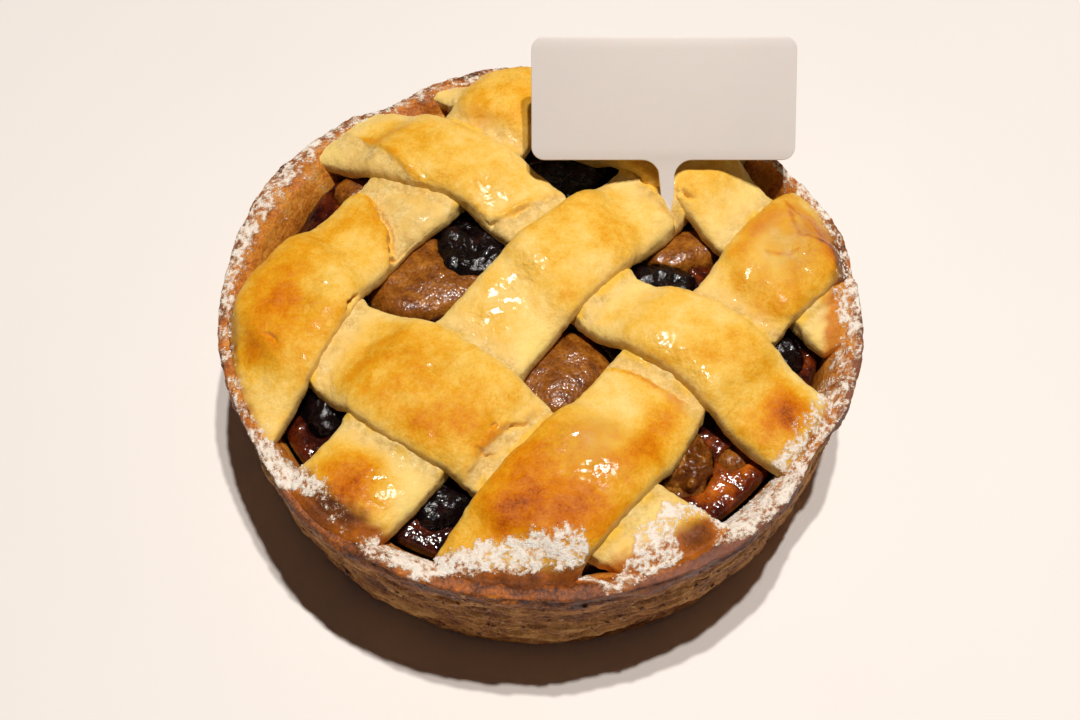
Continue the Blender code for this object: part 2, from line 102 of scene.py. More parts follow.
# Where icing sugar lies on the rim: angle in degrees from +X, the radius in mm where it
# starts, the radius where it ends, and how dense it is
SUGAR_BAND = (
    (-180, 49.9, 53.5, 0.70), (-168, 50.2, 53.5, 0.60), (-158, 50.2, 53.5, 0.58),
    (-149, 48.4, 53, 0.79), (-141, 46.8, 52.6, 0.92), (-133, 45.6, 49.5, 0.64),
    (-124, 49.5, 52, 0.27), (-117, 48, 52.5, 0.87), (-108, 47.4, 52, 0.86),
    (-101, 44.6, 49.2, 0.79), (-90, 43, 48.3, 0.87), (-83, 43.4, 48.6, 0.79),
    (-78, 51, 53, 0.66), (-72, 44.8, 51.5, 0.79), (-64, 41.6, 50.6, 0.86),
    (-55, 44.6, 52.3, 0.89), (-44, 46.4, 52.6, 0.86), (-36, 46.2, 52.2, 0.74),
    (-27, 46.2, 52.4, 0.68), (-17, 46.8, 52.6, 0.66), (-8, 48.6, 52.8, 0.54),
    (1, 47.8, 52.8, 0.84), (8, 50.2, 52.8, 0.56), (13, 50.2, 52.8, 0.52),
    (22, 50, 53, 0.70), (32, 49.6, 53, 0.70), (45, 49.6, 53.2, 0.62),
    (70, 50.2, 53.2, 0.56), (98, 49.8, 53.2, 0.62), (112, 50, 53.2, 0.60),
    (125, 50.4, 53.3, 0.60), (138, 50.2, 53.4, 0.66), (150, 49.8, 53.4, 0.72),
    (162, 49.6, 53.4, 0.74), (172, 49.6, 53.5, 0.74), (180, 49.9, 53.5, 0.70),
)
# Sugar that fell on the inner slope where it shows: middle and half width in degrees, the
# radius in mm where it starts and ends, and how dense it is
INNER_SUGAR = (150, 20, 46, 50.4, 0.34)
# Browned bumps that shed the sugar: x, y and reach (mm)
BARE_BUMPS = ((23.4, -42.8, 3.6),)
# Where the outer rim is baked browner: middle and half width in degrees, radius, and how much
BROWN_FRONT = (-92.0, 58.0, 49.6, 0.34)
# The purple-brown lip under the rim at the front right: middle and half width in degrees
DARK_LIP = (-42.0, 40.0)


def srgb(red, green, blue):
    """A colour as the eye counts it, 0 to 255, as the light that the shader wants."""
    parts = [channel / 255.0 for channel in (red, green, blue)]
    light = [p / 12.92 if p < 0.04045 else ((p + 0.055) / 1.055) ** 2.4 for p in parts]
    return (*light, 1.0)


def smooth_step(value, low, high):
    share = np.clip((value - low) / (high - low), 0.0, 1.0)
    return share * share * (3.0 - 2.0 * share)


def bell(value, middle, width, power=2):
    """1 at the middle, falling softly to 0 on both sides of it."""
    return np.exp(-(((value - middle) / width) ** power))


def uneven(points, size, seed, stretch=(1.0, 1.0, 1.0)):
    """Soft unevenness from about -1 to 1 at each point, in lumps of a size."""
    draw = np.random.default_rng(seed)
    turn = draw.permutation(256)
    slopes = draw.normal(size=(256, 3))
    slopes /= np.linalg.norm(slopes, axis=1)[:, None]
    grid = points / (size * np.array(stretch)) + 512.0  # so that no cell's number is below 0
    cell = np.floor(grid).astype(int)
    part = grid - cell
    fade = part**3 * (part * (part * 6.0 - 15.0) + 10.0)
    total = np.zeros(len(points))
    for corner in itertools.product((0, 1), repeat=3):
        at = cell + corner
        pick = turn[(turn[(turn[at[:, 0] % 256] + at[:, 1]) % 256] + at[:, 2]) % 256]
        reach = np.prod(np.where(np.array(corner) == 1, fade, 1.0 - fade), axis=1)
        total += reach * np.einsum("ij,ij->i", slopes[pick], part - corner)
    return 1.6 * total


def relief(points, lumps, seed):
    """The sum of lumps, each of a (size, height)."""
    return sum(
        height * uneven(points, size, seed + number) for number, (size, height) in enumerate(lumps)
    )


def numbers_of(rows, name, width):
    flat = np.empty(len(rows) * width, np.float32)
    rows.foreach_get(name, flat)
    return flat.reshape(-1, width).astype(float)


def points_of(piece):
    return numbers_of(piece.data.vertices, "co", 3)


def normals_of(piece):
    return numbers_of(piece.data.vertex_normals, "vector", 3)


def move_points(piece, points):
    piece.data.vertices.foreach_set("co", np.ravel(points).astype(np.float32))
    piece.data.update()


def paint(piece, name, values):
    """Writes a number for each point of the mesh, which the material reads by name."""
    layer = piece.data.attributes.new(name, "FLOAT", "POINT")
    layer.data.foreach_set("value", np.clip(values, 0.0, 1.0).astype(np.float32))


def take(piece):
    """Makes a piece the only selected one."""
    bpy.ops.object.select_all(action="DESELECT")
    piece.select_set(True)
    bpy.context.view_layer.objects.active = piece


def finish_with(piece, kind, **settings):
    """Adds a modifier and applies it."""
    take(piece)
    modifier = piece.modifiers.new(kind.lower(), kind)
    for name, value in settings.items():
        setattr(modifier, name, value)
    bpy.ops.object.modifier_apply(modifier=modifier.name)


def polar(points):
    return np.degrees(np.arctan2(points[:, 1], points[:, 0])), np.hypot(points[:, 0], points[:, 1])


def away_from(points, x, y):
    """The distance in plan from a place, all in mm."""
    return np.hypot(points[:, 0] / MM - x, points[:, 1] / MM - y)


def sugar_cover(points, normals):
    """How much icing sugar lies at each point of the rim and of the ends of the strips."""
    angle, radius = polar(points)
    radius = radius / MM + 0.7 * uneven(points, 2.4 * MM, 71) + 0.5 * uneven(points, 0.8 * MM, 75)
    angle = angle + 2.5 * uneven(points, 5.0 * MM, 72)
    table = np.array(SUGAR_BAND)
    start, end, dense = (np.interp(angle, table[:, 0], table[:, column]) for column in (1, 2, 3))
    cover = dense * smooth_step(radius, start - 1.3, start + 1.3)
    cover *= 1.0 - smooth_step(radius, end - 0.6, end + 1.0)
    middle, width, inner, outer, thin = INNER_SUGAR
    slope = bell(angle, middle, width) * smooth_step(radius, inner - 0.5, inner + 0.5)
    cover = np.maximum(cover, thin * slope * (1.0 - smooth_step(radius, outer - 0.5, outer + 0.5)))
    cover *= smooth_step(normals[:, 2], 0.05, 0.55)
    for x, y, reach in BARE_BUMPS:
        cover *= 1.0 - 0.9 * bell(away_from(points, x, y), 0.0, reach, 4)
    clumps = 0.35 * uneven(points, 1.5 * MM, 73) + 0.4 * uneven(points, 0.5 * MM, 74)
    return smooth_step(0.95 * cover + clumps * smooth_step(cover, 0.02, 0.25), 0.22, 0.98)


def pinched_rim(angle, radius):
    """The height that the rim has at least, at an angle in degrees and a radius."""
    radii, heights = zip(*RIM_SECTION)
    height = np.interp(radius, radii, heights)
    for middle, width, dent in RIM_DENTS:
        height = height - dent * bell(angle, middle, width)
    return height


def case_rings():
    """The rings of the case from the middle of the base, up the side, over the rim, inside."""
    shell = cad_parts["tart_shell"]
    tree = BVHTree.FromPolygons(
        [vert.co for vert in shell.data.vertices],
        [tuple(face.vertices) for face in shell.data.polygons],
    )
    angles = np.linspace(0.0, math.tau, CASE_STEPS, endpoint=False)
    ways = [Vector((math.cos(angle), math.sin(angle), 0.0)) for angle in angles]
    degrees = (np.degrees(angles) + 180.0) % 360.0 - 180.0

    def side_radius(way, z):
        read = min(z, SIDE_READ_TO)
        hit = tree.ray_cast(way * READ_OUT + Vector((0.0, 0.0, read)), -way)[0]
        return math.hypot(hit.x, hit.y) + SIDE_SLOPE * (z - read)

    def top_height(way, radius):
        start = way * radius + Vector((0.0, 0.0, READ_ABOVE))
        return tree.ray_cast(start, Vector((0.0, 0.0, -1.0)))[0].z

    def soften(values, turns):
        for _ in range(turns):
            around = (np.roll(values, 1, axis=-1) + values + np.roll(values, -1, axis=-1)) / 3.0
            values = around
            if values.ndim == 2:
                values[1:-1] = (around[:-2] + 2.0 * around[1:-1] + around[2:]) / 4.0
        return values

    rim_height = RIM_SECTION[-1][1]
    reach = soften(np.array([side_radius(way, rim_height) for way in ways]), 6)
    lip_top = np.array([top_height(way, far - 1.5 * LIP_IN) for way, far in zip(ways, reach)])
    lip_top = soften(np.maximum(lip_top, pinched_rim(degrees, RIM_RADIUS)), 3)
    lip_foot = lip_top - LIP_DOWN

    side_share = np.linspace(0.0, 1.0, SIDE_RINGS)
    side_z = np.array([FOOT_HEIGHT + (lip_foot - FOOT_HEIGHT) * share for share in side_share])
    side_r = np.array([
        [side_radius(way, z) for way, z in zip(ways, ring)] for ring in side_z
    ])
    side_r = soften(side_r, 5)

    lip_turn = np.linspace(0.0, math.pi / 2.0, LIP_RINGS + 2)[1:-1]
    lip_r = np.array([side_r[-1] - LIP_IN * (1.0 - math.cos(turn)) for turn in lip_turn])
    lip_z = np.array([lip_foot + LIP_DOWN * math.sin(turn) for turn in lip_turn])

    inner_r, inner_z = INNER_EDGE
    top_share = np.linspace(0.0, 1.0, TOP_RINGS)
    top_r = np.array([
        side_r[-1] - LIP_IN + (inner_r - side_r[-1] + LIP_IN) * share for share in top_share
    ])
    top_z = np.array([
        [top_height(way, radius) for way, radius in zip(ways, ring)] for ring in top_r
    ])
    top_z = soften(np.maximum(top_z, pinched_rim(degrees, top_r)), 2)

    def level_ring(radius, z):
        return np.full(CASE_STEPS, radius), np.full(CASE_STEPS, z)

    rings = [level_ring(BASE_RADIUS * share, 0.0) for share in BASE_SHARES]
    rings += list(zip(side_r, side_z)) + list(zip(lip_r, lip_z)) + list(zip(top_r, top_z))
    for share in np.linspace(0.0, 1.0, INSIDE_RINGS + 1)[1:]:
        radius = inner_r + (FLOOR_RADIUS - inner_r) * share
        height = inner_z + (FLOOR_HEIGHT - inner_z) * share
        rings.append(level_ring(radius, height))
    for share in np.linspace(1.0, 0.02, FLOOR_RINGS + 1)[1:]:
        rings.append(level_ring(FLOOR_RADIUS * share, FLOOR_HEIGHT))
    way_x, way_y = np.cos(angles), np.sin(angles)
    return np.array([np.stack([r * way_x, r * way_y, z], axis=1) for r, z in rings])


def turned_body(name, rings):
    """A circle, extruded ring by ring, closed at both middles."""
    steps = rings.shape[1]
    bpy.ops.mesh.primitive_circle_add(vertices=steps, radius=BASE_RADIUS)
    piece = bpy.context.object
    piece.name = name
    bpy.ops.object.mode_set(mode="EDIT")
    bpy.ops.mesh.select_all(action="SELECT")
    for _ in rings[1:]:
        bpy.ops.mesh.extrude_region_move(TRANSFORM_OT_translate={"value": (0.0, 0.0, 0.3 * MM)})
    bpy.ops.mesh.select_all(action="SELECT")
    bpy.ops.mesh.fill_holes(sides=0)
    bpy.ops.object.mode_set(mode="OBJECT")
    move_points(piece, rings.reshape(-1, 3))
    bpy.ops.object.mode_set(mode="EDIT")
    bpy.ops.mesh.select_all(action="SELECT")
    bpy.ops.mesh.normals_make_consistent(inside=False)
    bpy.ops.object.mode_set(mode="OBJECT")
    bpy.ops.object.shade_smooth()
    return piece


def fill_in(tree, made, values):
    """Sets a node's inputs to numbers or colours, or feeds them from sockets."""
    for name, value in values.items():
        if isinstance(value, bpy.types.NodeSocket):
            tree.links.new(value, made.inputs[name])
        else:
            made.inputs[name].default_value = value


def add_node(tree, kind, values, **settings):
    made = tree.nodes.new(kind)
    for name, value in settings.items():
        setattr(made, name, value)
    fill_in(tree, made, values)
    return made


def grain(tree, size, detail, rough, offset=0.0, stretch=(1.0, 1.0, 1.0)):
    """Noise with grains of a size in metres, in the object's own frame."""
    place = add_node(tree, "ShaderNodeTexCoord", {}).outputs["Object"]
    scale = [1.0 / part for part in stretch]
    moved = add_node(tree, "ShaderNodeMapping", {
        "Vector": place, "Location": (offset, offset, offset), "Scale": scale,
    })
    noise = add_node(tree, "ShaderNodeTexNoise", {
        "Vector": moved.outputs[0], "Scale": 1.0 / size, "Detail": detail, "Roughness": rough,
    })
    return noise.outputs["Fac"]


def calc(tree, operation, first, second):
    values = {0: first, 1: second}
    return add_node(tree, "ShaderNodeMath", values, operation=operation).outputs[0]


def plus(tree, value, other, amount):
    """The value with an amount of another added."""
    return calc(tree, "ADD", value, calc(tree, "MULTIPLY", other, amount))


def swayed(tree, value, *noises):
    """The value moved up and down by each (noise, amount)."""
    for noise, amount in noises:
        value = plus(tree, value, calc(tree, "SUBTRACT", noise, 0.5), amount)
    return value


def bumped(tree, height, distance, strength):
    values = {"Height": height, "Distance": distance, "Strength": strength}
    return add_node(tree, "ShaderNodeBump", values).outputs[0]


def spread(tree, value, low, high, new_low=0.0, new_high=1.0):
    """The value, stretched from one range to another and held inside it."""
    values = {0: value, 1: low, 2: high, 3: new_low, 4: new_high}
    return add_node(tree, "ShaderNodeMapRange", values).outputs[0]


def blend_colour(tree, share, first, second):
    values = {"Fac": share, "Color1": first, "Color2": second}
    return add_node(tree, "ShaderNodeMixRGB", values).outputs[0]


def shades(tree, value, stops):
    """A colour ramp from stops, each a (place, red, green, blue)."""
    made = add_node(tree, "ShaderNodeValToRGB", {"Fac": value})
    elements = made.color_ramp.elements
    for element, (place, *colour) in zip(elements, (stops[0], stops[-1])):
        element.position = place
        element.color = srgb(*colour)
    for place, *colour in stops[1:-1]:
        elements.new(place).color = srgb(*colour)
    return made.outputs["Color"]


def painted(tree, name):
    return add_node(tree, "ShaderNodeAttribute", {}, attribute_name=name).outputs["Fac"]


def new_surface(name):
    material = bpy.data.materials.new(name)
    material.use_nodes = True
    return material, material.node_tree


def finish_surface(tree, values):
    fill_in(tree, tree.nodes["Principled BSDF"], values)


def sugared(tree, colour, rough, height):
    """Lays icing sugar over a surface: its colour, its dryness and its small lumps."""
    cover = painted(tree, "sugar")
    fine = grain(tree, 0.24 * MM, 2.0, 0.6)
    lying = spread(tree, swayed(tree, cover, (fine, 1.7)), 0.24, 0.84)
    lying = calc(tree, "MULTIPLY", lying, spread(tree, cover, 0.02, 0.12))
    thick = spread(tree, cover, 0.4, 1.0)
    white = blend_colour(tree, thick, srgb(222, 190, 156), srgb(250, 238, 224))
    colour = blend_colour(tree, lying, colour, white)
    return colour, plus(tree, rough, lying, 0.4), plus(tree, height, lying, 0.5)


def rim_colour(tree, tone):
    return shades(tree, tone, (
        (0.0, 236, 176, 84),
        (0.3, 216, 138, 50),
        (0.55, 180, 98, 28),
        (0.78, 126, 70, 34),
        (1.0, 66, 34, 22),
    ))


def case_surface():
    material, tree = new_surface("baked_shortcrust")
    side = painted(tree, "side")
    fine = grain(tree, 0.5 * MM, 4.0, 0.65)
    broad = grain(tree, 4.0 * MM, 3.0, 0.6, offset=0.1)
    layers = grain(tree, 0.9 * MM, 4.0, 0.6, offset=0.2, stretch=(5.0, 5.0, 0.8))
    tone = swayed(tree, painted(tree, "bake"), (fine, 1.0), (broad, 0.7))
    wall = shades(tree, swayed(tree, tone, (layers, 0.7)), (
        (0.0, 216, 160, 92),
        (0.35, 180, 120, 56),
        (0.6, 144, 86, 35),
        (0.8, 106, 58, 23),
        (1.0, 60, 32, 16),
    ))
    colour = blend_colour(tree, side, rim_colour(tree, tone), wall)
    colour = blend_colour(tree, painted(tree, "lip"), colour, srgb(128, 80, 62))
    rough = plus(tree, spread(tree, fine, 0.3, 0.7, 0.26, 0.44), side, 0.35)
    colour, rough, height = sugared(tree, colour, rough, plus(tree, fine, layers, 0.7))
    finish_surface(tree, {
        "Base Color": colour,
        "Roughness": rough,
        "Normal": bumped(tree, height, 0.24 * MM, 0.9),
        "IOR": 1.36,
        "Subsurface Weight": 0.08,
        "Subsurface Radius": (1.0, 0.5, 0.2),
        "Subsurface Scale": 1.0 * MM,
    })
    return material


def make_case():
    rings = case_rings()
    piece = turned_body("pastry_case", rings)
    points = points_of(piece)
    normals = normals_of(piece)
    angle, radius = polar(points)
    outside = smooth_step(radius, *PASTRY_RADIUS)
    upright = outside * smooth_step(1.0 - np.abs(normals[:, 2]), 0.3, 0.8)
    wall = upright * smooth_step(radius, *WALL_RADIUS) * smooth_step(points[:, 2], *WALL_FOOT)
    inward = -(normals[:, 0] * points[:, 0] + normals[:, 1] * points[:, 1])
    wall *= 1.0 - smooth_step(inward, 0.0, 5.0 * MM)
    outward = np.stack([points[:, 0], points[:, 1], np.zeros(len(points))], axis=1)
    outward /= np.maximum(radius, MM)[:, None]

    side_out = -0.25 * MM + relief(points, CRUMB_RELIEF, 14)
    broken = smooth_step(uneven(points, 6.0 * MM, 13, (1.6, 1.6, 0.5)), -0.35, 0.3)
    for number, (pitch, depth, wander, bend) in enumerate(LAYERS):
        height = points[:, 2] + wander * uneven(points, bend, 11 + number)
        layer = height / pitch
        ledge = layer - np.floor(layer)
        ledge = 1.0 - smooth_step(ledge, 0.0, 0.9) + smooth_step(ledge, 0.9, 1.0)
        side_out += depth * (ledge * broken - 0.4)
    points += outward * (wall * side_out)[:, None]

    top = outside * smooth_step(normals[:, 2], 0.2, 0.7) * smooth_step(points[:, 2], *UPPER_PART)
    points += normals * (top * relief(points, RIM_RELIEF, 16))[:, None]
    move_points(piece, points)
    sugar = sugar_cover(points, normals_of(piece)) * outside * (1.0 - 0.85 * wall)
    points += normals * (sugar * SUGAR_RELIEF * (1.0 + uneven(points, 0.6 * MM, 20)))[:, None]
    move_points(piece, points)

    inner_slope = smooth_step(-radius, -50.6 * MM, -49.2 * MM)
    bake = CASE_BAKE + 0.26 * uneven(points, 5.0 * MM, 19) + 0.16 * uneven(points, 1.4 * MM, 23)
    bake -= 0.10 * inner_slope * outside
    lip = smooth_step(radius, *LIP_RADIUS) * smooth_step(points[:, 2], *LIP_HEIGHT)
    bake += LIP_BAKE * lip
    middle, width, start, amount = BROWN_FRONT
    front = bell(angle, middle, width, 4)
    front *= smooth_step(radius, (start - 0.8) * MM, (start + 1.2) * MM)
    bake += amount * front * outside * (1.0 - lip) * (1.0 - wall)
    # The side is darker towards its foot.
    bake += wall * (FOOT_DARKENING * smooth_step(-points[:, 2], -8.0 * MM, -0.5 * MM) - 0.10)
    # Painted shade: the side is painted darker in the hollows between its layers and lighter on
    # their ledges, so that its colour follows its relief
    bake -= wall * np.clip(0.34 * side_out / MM, -0.28, 0.2)
    middle, width = DARK_LIP
    dark_lip = lip * bell(angle, middle, width, 4) * smooth_step(points[:, 2], *DARK_LIP_HEIGHT)
    paint(piece, "bake", bake)
    paint(piece, "side", wall * (1.0 - 0.6 * lip))
    paint(piece, "lip", 0.85 * dark_lip)
    paint(piece, "sugar", sugar)
    piece.data.materials.append(case_surface())
    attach(piece, "root")
    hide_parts("tart_shell")
    return piece


pastry_case = make_case()

# --- Filling ----------------------------------------------------------------------------
# Fruit boiled down to a dark red-brown jelly, poured into the case. It bakes glossy, with
# lumps and bubbles, and shows in every gap of the lid.

JELLY_VOXEL = 0.6 * MM
JELLY_DARK = 0.14  # how clear the jelly is where nothing is said, from 0 to 1
# Where the jelly is clearer and shows the light through it: x, y, reach (mm) and how much
CLEAR_PLACES = (
    (28.5, -29, 6, 0.52),
    (33, -27.5, 3, 0.40),
    (26, -33.5, 3.2, 0.46),
    (27.5, 10.5, 5, 0.30),
    (43, -10, 3, 0.30),
    (-33.5, 24.5, 5, 0.44),
    (-38.5, -25, 3.6, 0.22),
    (-19, -38, 4, 0.14),
    (9, -47, 4, 0.16),
)


def solid_copy(name, node):
    """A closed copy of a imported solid, which is loose triangles until it is merged."""
    piece = bpy.data.objects.new(name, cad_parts[node].data.copy())
    bpy.context.scene.collection.objects.link(piece)
    take(piece)
    piece.data.materials.clear()
    bpy.ops.object.mode_set(mode="EDIT")
    bpy.ops.mesh.select_all(action="SELECT")
    bpy.ops.mesh.remove_doubles(threshold=0.005 * MM)
    bpy.ops.mesh.tris_convert_to_quads()
    bpy.ops.object.mode_set(mode="OBJECT")
    return piece


def refined(piece, voxel, soften):
    """Rounds the facets of a solid and gives it even, fine faces."""
    finish_with(piece, "SUBSURF", levels=2, render_levels=2)
    finish_with(piece, "REMESH", mode="VOXEL", voxel_size=voxel, use_smooth_shade=True)
    finish_with(piece, "SMOOTH", factor=0.5, iterations=soften)


def jelly_surface():
    material, tree = new_surface("dark_jelly")
    fine = grain(tree, 0.8 * MM, 2.0, 0.5)
    broad = grain(tree, 2.6 * MM, 3.0, 0.6, offset=0.4)
    bump = bumped(tree, plus(tree, fine, broad, 1.5), 0.2 * MM, 0.9)
    finish_surface(tree, {
        "Base Color": shades(tree, swayed(tree, painted(tree, "clear"), (broad, 1.2)), (
            (0.0, 20, 6, 5),
            (0.25, 48, 12, 7),
            (0.5, 96, 34, 9),
            (0.75, 156, 74, 14),
            (1.0, 206, 112, 32),
        )),
        "Roughness": spread(tree, fine, 0.3, 0.7, 0.06, 0.2),
        "Normal": bump,
        "Coat Normal": bump,
        "Coat Weight": 0.3,
        "Coat Roughness": 0.05,
        "Subsurface Weight": 0.1,
        "Subsurface Radius": (1.0, 0.35, 0.1),
        "Subsurface Scale": 0.8 * MM,
    })
    return material


def make_filling():
    piece = solid_copy("fruit_filling", "apple_filling")
    refined(piece, JELLY_VOXEL, 3)
    points = points_of(piece)
    normals = normals_of(piece)
    top = smooth_step(normals[:, 2], 0.2, 0.7) * smooth_step(points[:, 2], *UPPER_PART)
    rise = 0.4 * MM * uneven(points, 3.0 * MM, 31)
    rise += 0.2 * MM * np.abs(uneven(points, 1.6 * MM, 32))
    move_points(piece, points + normals * (top * rise)[:, None])
    clear = np.full(len(points), JELLY_DARK)
    for x, y, reach, amount in CLEAR_PLACES:
        clear += amount * bell(away_from(points, x, y), 0.0, reach)
    paint(piece, "clear", clear)
    piece.data.materials.append(jelly_surface())
    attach(piece, "root")
    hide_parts("apple_filling")


make_filling()

# --- Cooked apple -----------------------------------------------------------------------
# Slices and chunks of apple, cooked brown and soft. Their cut faces are sandy with wet
# pores, and their edges are rounded by the jelly round them.

APPLE_VOXEL = 0.3 * MM
APPLE_COUNT = 6


def apple_surface(name, dark, middle, light):
    material, tree = new_surface(name)
    pores = grain(tree, 0.5 * MM, 3.0, 0.65)
    broad = grain(tree, 2.6 * MM, 3.0, 0.6, offset=0.7)
    tone = plus(tree, calc(tree, "MULTIPLY", broad, 0.7), pores, 0.4)
    place = add_node(tree, "ShaderNodeTexCoord", {}).outputs["Object"]
    cells = add_node(tree, "ShaderNodeTexVoronoi", {"Vector": place, "Scale": 1.0 / (0.55 * MM)})
    height = calc(tree, "SUBTRACT", calc(tree, "MULTIPLY", pores, 0.8), cells.outputs["Distance"])
    bump = bumped(tree, height, 0.07 * MM, 1.0)
    finish_surface(tree, {
        "Base Color": shades(tree, tone, ((0.38, *dark), (0.55, *middle), (0.72, *light))),
        "Roughness": spread(tree, pores, 0.3, 0.7, 0.24, 0.4),
        "Normal": bump,
        "Coat Normal": bump,
        "Coat Weight": 0.3,
        "Coat Roughness": 0.07,
        "Specular IOR Level": 0.3,
        "Subsurface Weight": 0.12,
        "Subsurface Radius": (1.0, 0.5, 0.2),
        "Subsurface Scale": 1.0 * MM,
    })
    return material


def make_fruit(name, node, voxel, material, seed, forms):
    """A piece of fruit with lumps or folds, each a (size, height, is it a fold)."""
    piece = solid_copy(name, node)
    refined(piece, voxel, 3)
    points = points_of(piece)
    normals = normals_of(piece)
    rise = np.full(len(points), 0.15 * MM)
    for number, (size, height, folded) in enumerate(forms):
        lumps = uneven(points, size, seed + number)
        rise += height * (1.0 - 2.5 * np.abs(lumps) if folded else lumps)
    move_points(piece, points + normals * rise[:, None])
    piece.data.materials.append(material)
    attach(piece, "root")
    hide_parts(node)


APPLE_RELIEF = ((4.0 * MM, 0.35 * MM, False), (0.9 * MM, 0.08 * MM, False))
# The chunk at the front right fell to pieces in the oven
CRUMBLED = 3
CRUMBLED_RELIEF = (
    (4.6 * MM, 1.6 * MM, False),
    (3.0 * MM, 0.9 * MM, True),
    (0.9 * MM, 0.2 * MM, True),
)
soft_apple = apple_surface("cooked_apple", (92, 44, 9), (136, 78, 18), (174, 112, 36))
crumbled_apple = apple_surface("crumbled_apple", (66, 28, 5), (114, 60, 12), (172, 116, 38))
for number in range(1, APPLE_COUNT + 1):
    make_fruit(
        f"cooked_apple_{number}", f"apple_piece_{number}", APPLE_VOXEL,
        crumbled_apple if number == CRUMBLED else soft_apple, 100 * number,
        CRUMBLED_RELIEF if number == CRUMBLED else APPLE_RELIEF,
    )

# --- Dark fruit -------------------------------------------------------------------------
# Soft fruit that baked almost black among the apple. It shows in the gaps of the lid, and
# its skin is shrunk into sharp wet wrinkles. Its near-black colour is partly its own and
# partly painted shade, for the deep shade in those gaps.

DARK_VOXEL = 0.26 * MM
DARK_COUNT = 6
DARK_RELIEF = (
    (4.5 * MM, 0.6 * MM, False),
    (2.6 * MM, 0.34 * MM, True),
    (1.3 * MM, 0.12 * MM, True),
)


def dark_fruit_and_shade_surface():
    material, tree = new_surface("dark_fruit_skin_and_painted_shade")
    fine = grain(tree, 0.5 * MM, 3.0, 0.6)
    broad = grain(tree, 2.5 * MM, 2.0, 0.5, offset=0.5)
    bump = bumped(tree, fine, 0.16 * MM, 0.8)
    finish_surface(tree, {
        # Painted shade: the skin is painted darker than the fruit's own colour, so that the pieces
        # in the deep gaps look as dark as the shade there
        "Base Color": shades(tree, broad, (
            (0.35, 8, 4, 6),
            (0.6, 18, 8, 10),
            (0.8, 44, 16, 16),
        )),
        "Roughness": spread(tree, fine, 0.3, 0.7, 0.1, 0.32),
        "Normal": bump,
        "Coat Normal": bump,
        "IOR": 1.36,
        "Coat Weight": 0.3,
        "Coat Roughness": 0.06,
    })
    return material


dark_fruit_and_shade_material = dark_fruit_and_shade_surface()
for number in range(1, DARK_COUNT + 1):
    make_fruit(
        f"dark_fruit_piece_{number}", f"dark_fruit_{number}",
        DARK_VOXEL, dark_fruit_and_shade_material, 1000 + 100 * number, DARK_RELIEF,
    )

# --- Lattice lid ------------------------------------------------------------------------
# Six strips of rolled dough, woven over and under each other and pressed to the rim. Egg
# wash was brushed on the tops, so they baked golden and glossy, and their cut edges and
# what lay in a fold stayed pale.

DOUGH_VOXEL = 0.27 * MM
DOUGH_SWELL = 0.14 * MM
DOUGH_SHOULDER = 0.08  # how far a strip's shoulders stand out, in mm
FLANK_OUT = 0.15  # how far the foot of a strip's side leans out and down, in mm
FLANK_DOWN = 0.8
CREASE_FILL = (0.9, 1.5)  # how far a strip rises to meet the one that lies over it, and its reach
DOUGH_RELIEF = ((8.0 * MM, 0.32 * MM), (2.8 * MM, 0.18 * MM), (1.1 * MM, 0.08 * MM))
WRINKLES = ((1.6 * MM, 0.28 * MM), (0.8 * MM, 0.16 * MM))
WET_RELIEF = ((2.2 * MM, 0.13 * MM), (1.1 * MM, 0.09 * MM))  # where the egg wash ran into drops
SUGAR_ON_DOUGH = 0.12 * MM
FLUSH_ABOVE = 0.5 * MM  # how far a strip's end stands above the rim that it is pinched to
PROUD_END = (-129.0, 9.0, 0.7 * MM)  # the end that stands more: its angle, half width and height
PINCHED_RADIUS = (49.4 * MM, 51.8 * MM)  # where the strips' ends start to be pinched, and are
# How brown each strip is baked, from 0, barely, to 1
BAKED = {"a1": 0.24, "a2": 0.14, "a3": 0.28, "b0": 0.16, "b1": 0.12, "b2": 0.16}
HIGH_BAKE = 0.24  # how much browner the high middle of a strip is than its edges
HIGH_FROM = (2.6 * MM, 6.4 * MM)  # how far above the bed a strip starts to be high, and is
DOUGH_GRAIN = 0.16 * MM  # how high the fine grain of the dough is
BED_HEIGHT = 28.4 * MM  # the height of the bed that the lid lies on, in the middle
BED_FALL = 2.4 * MM  # how much lower the bed is at the rim
SPOT_STEP = 5  # one in five of a strip's points tells where it lies
# The radius in mm from which a strip's end is baked brown like the rim, by angle in degrees
BROWN_FROM = (
    (-180, 49.6), (-150, 49.8), (-139, 47.4), (-122, 47), (-112, 47.6),
    (-78, 47.6), (-70, 46.6), (-50, 46.4), (-40, 48.4), (-20, 48.8),
    (-12, 46), (0, 46.4), (8, 49.6), (30, 50.8), (124, 51),
    (130, 53), (146, 52.6), (154, 50.4), (180, 49.6),
)
# Where the dough is pushed up, as round the foot of the tag: strip, x, y, reach, height (mm)
PUSHED_UP = (
    ("a2", -9.5, 2, 5.5, 1.5),
    ("a2", -4.5, 8, 5.5, 1.2),
    ("a2", 21.2, 19, 4.2, 1.9),
    ("b0", 20.6, 21.2, 2.4, 0.5),
    ("b2", 23.4, -42.8, 3.4, 0.8),
)
# The strips that lie over each strip
STRIPS_OVER = {
    "a1": ("b1",),
    "a2": ("b0", "b2"),
    "a3": ("b1",),
    "b0": ("a1", "a3"),
    "b1": ("a2",),
    "b2": ("a1", "a3"),
}
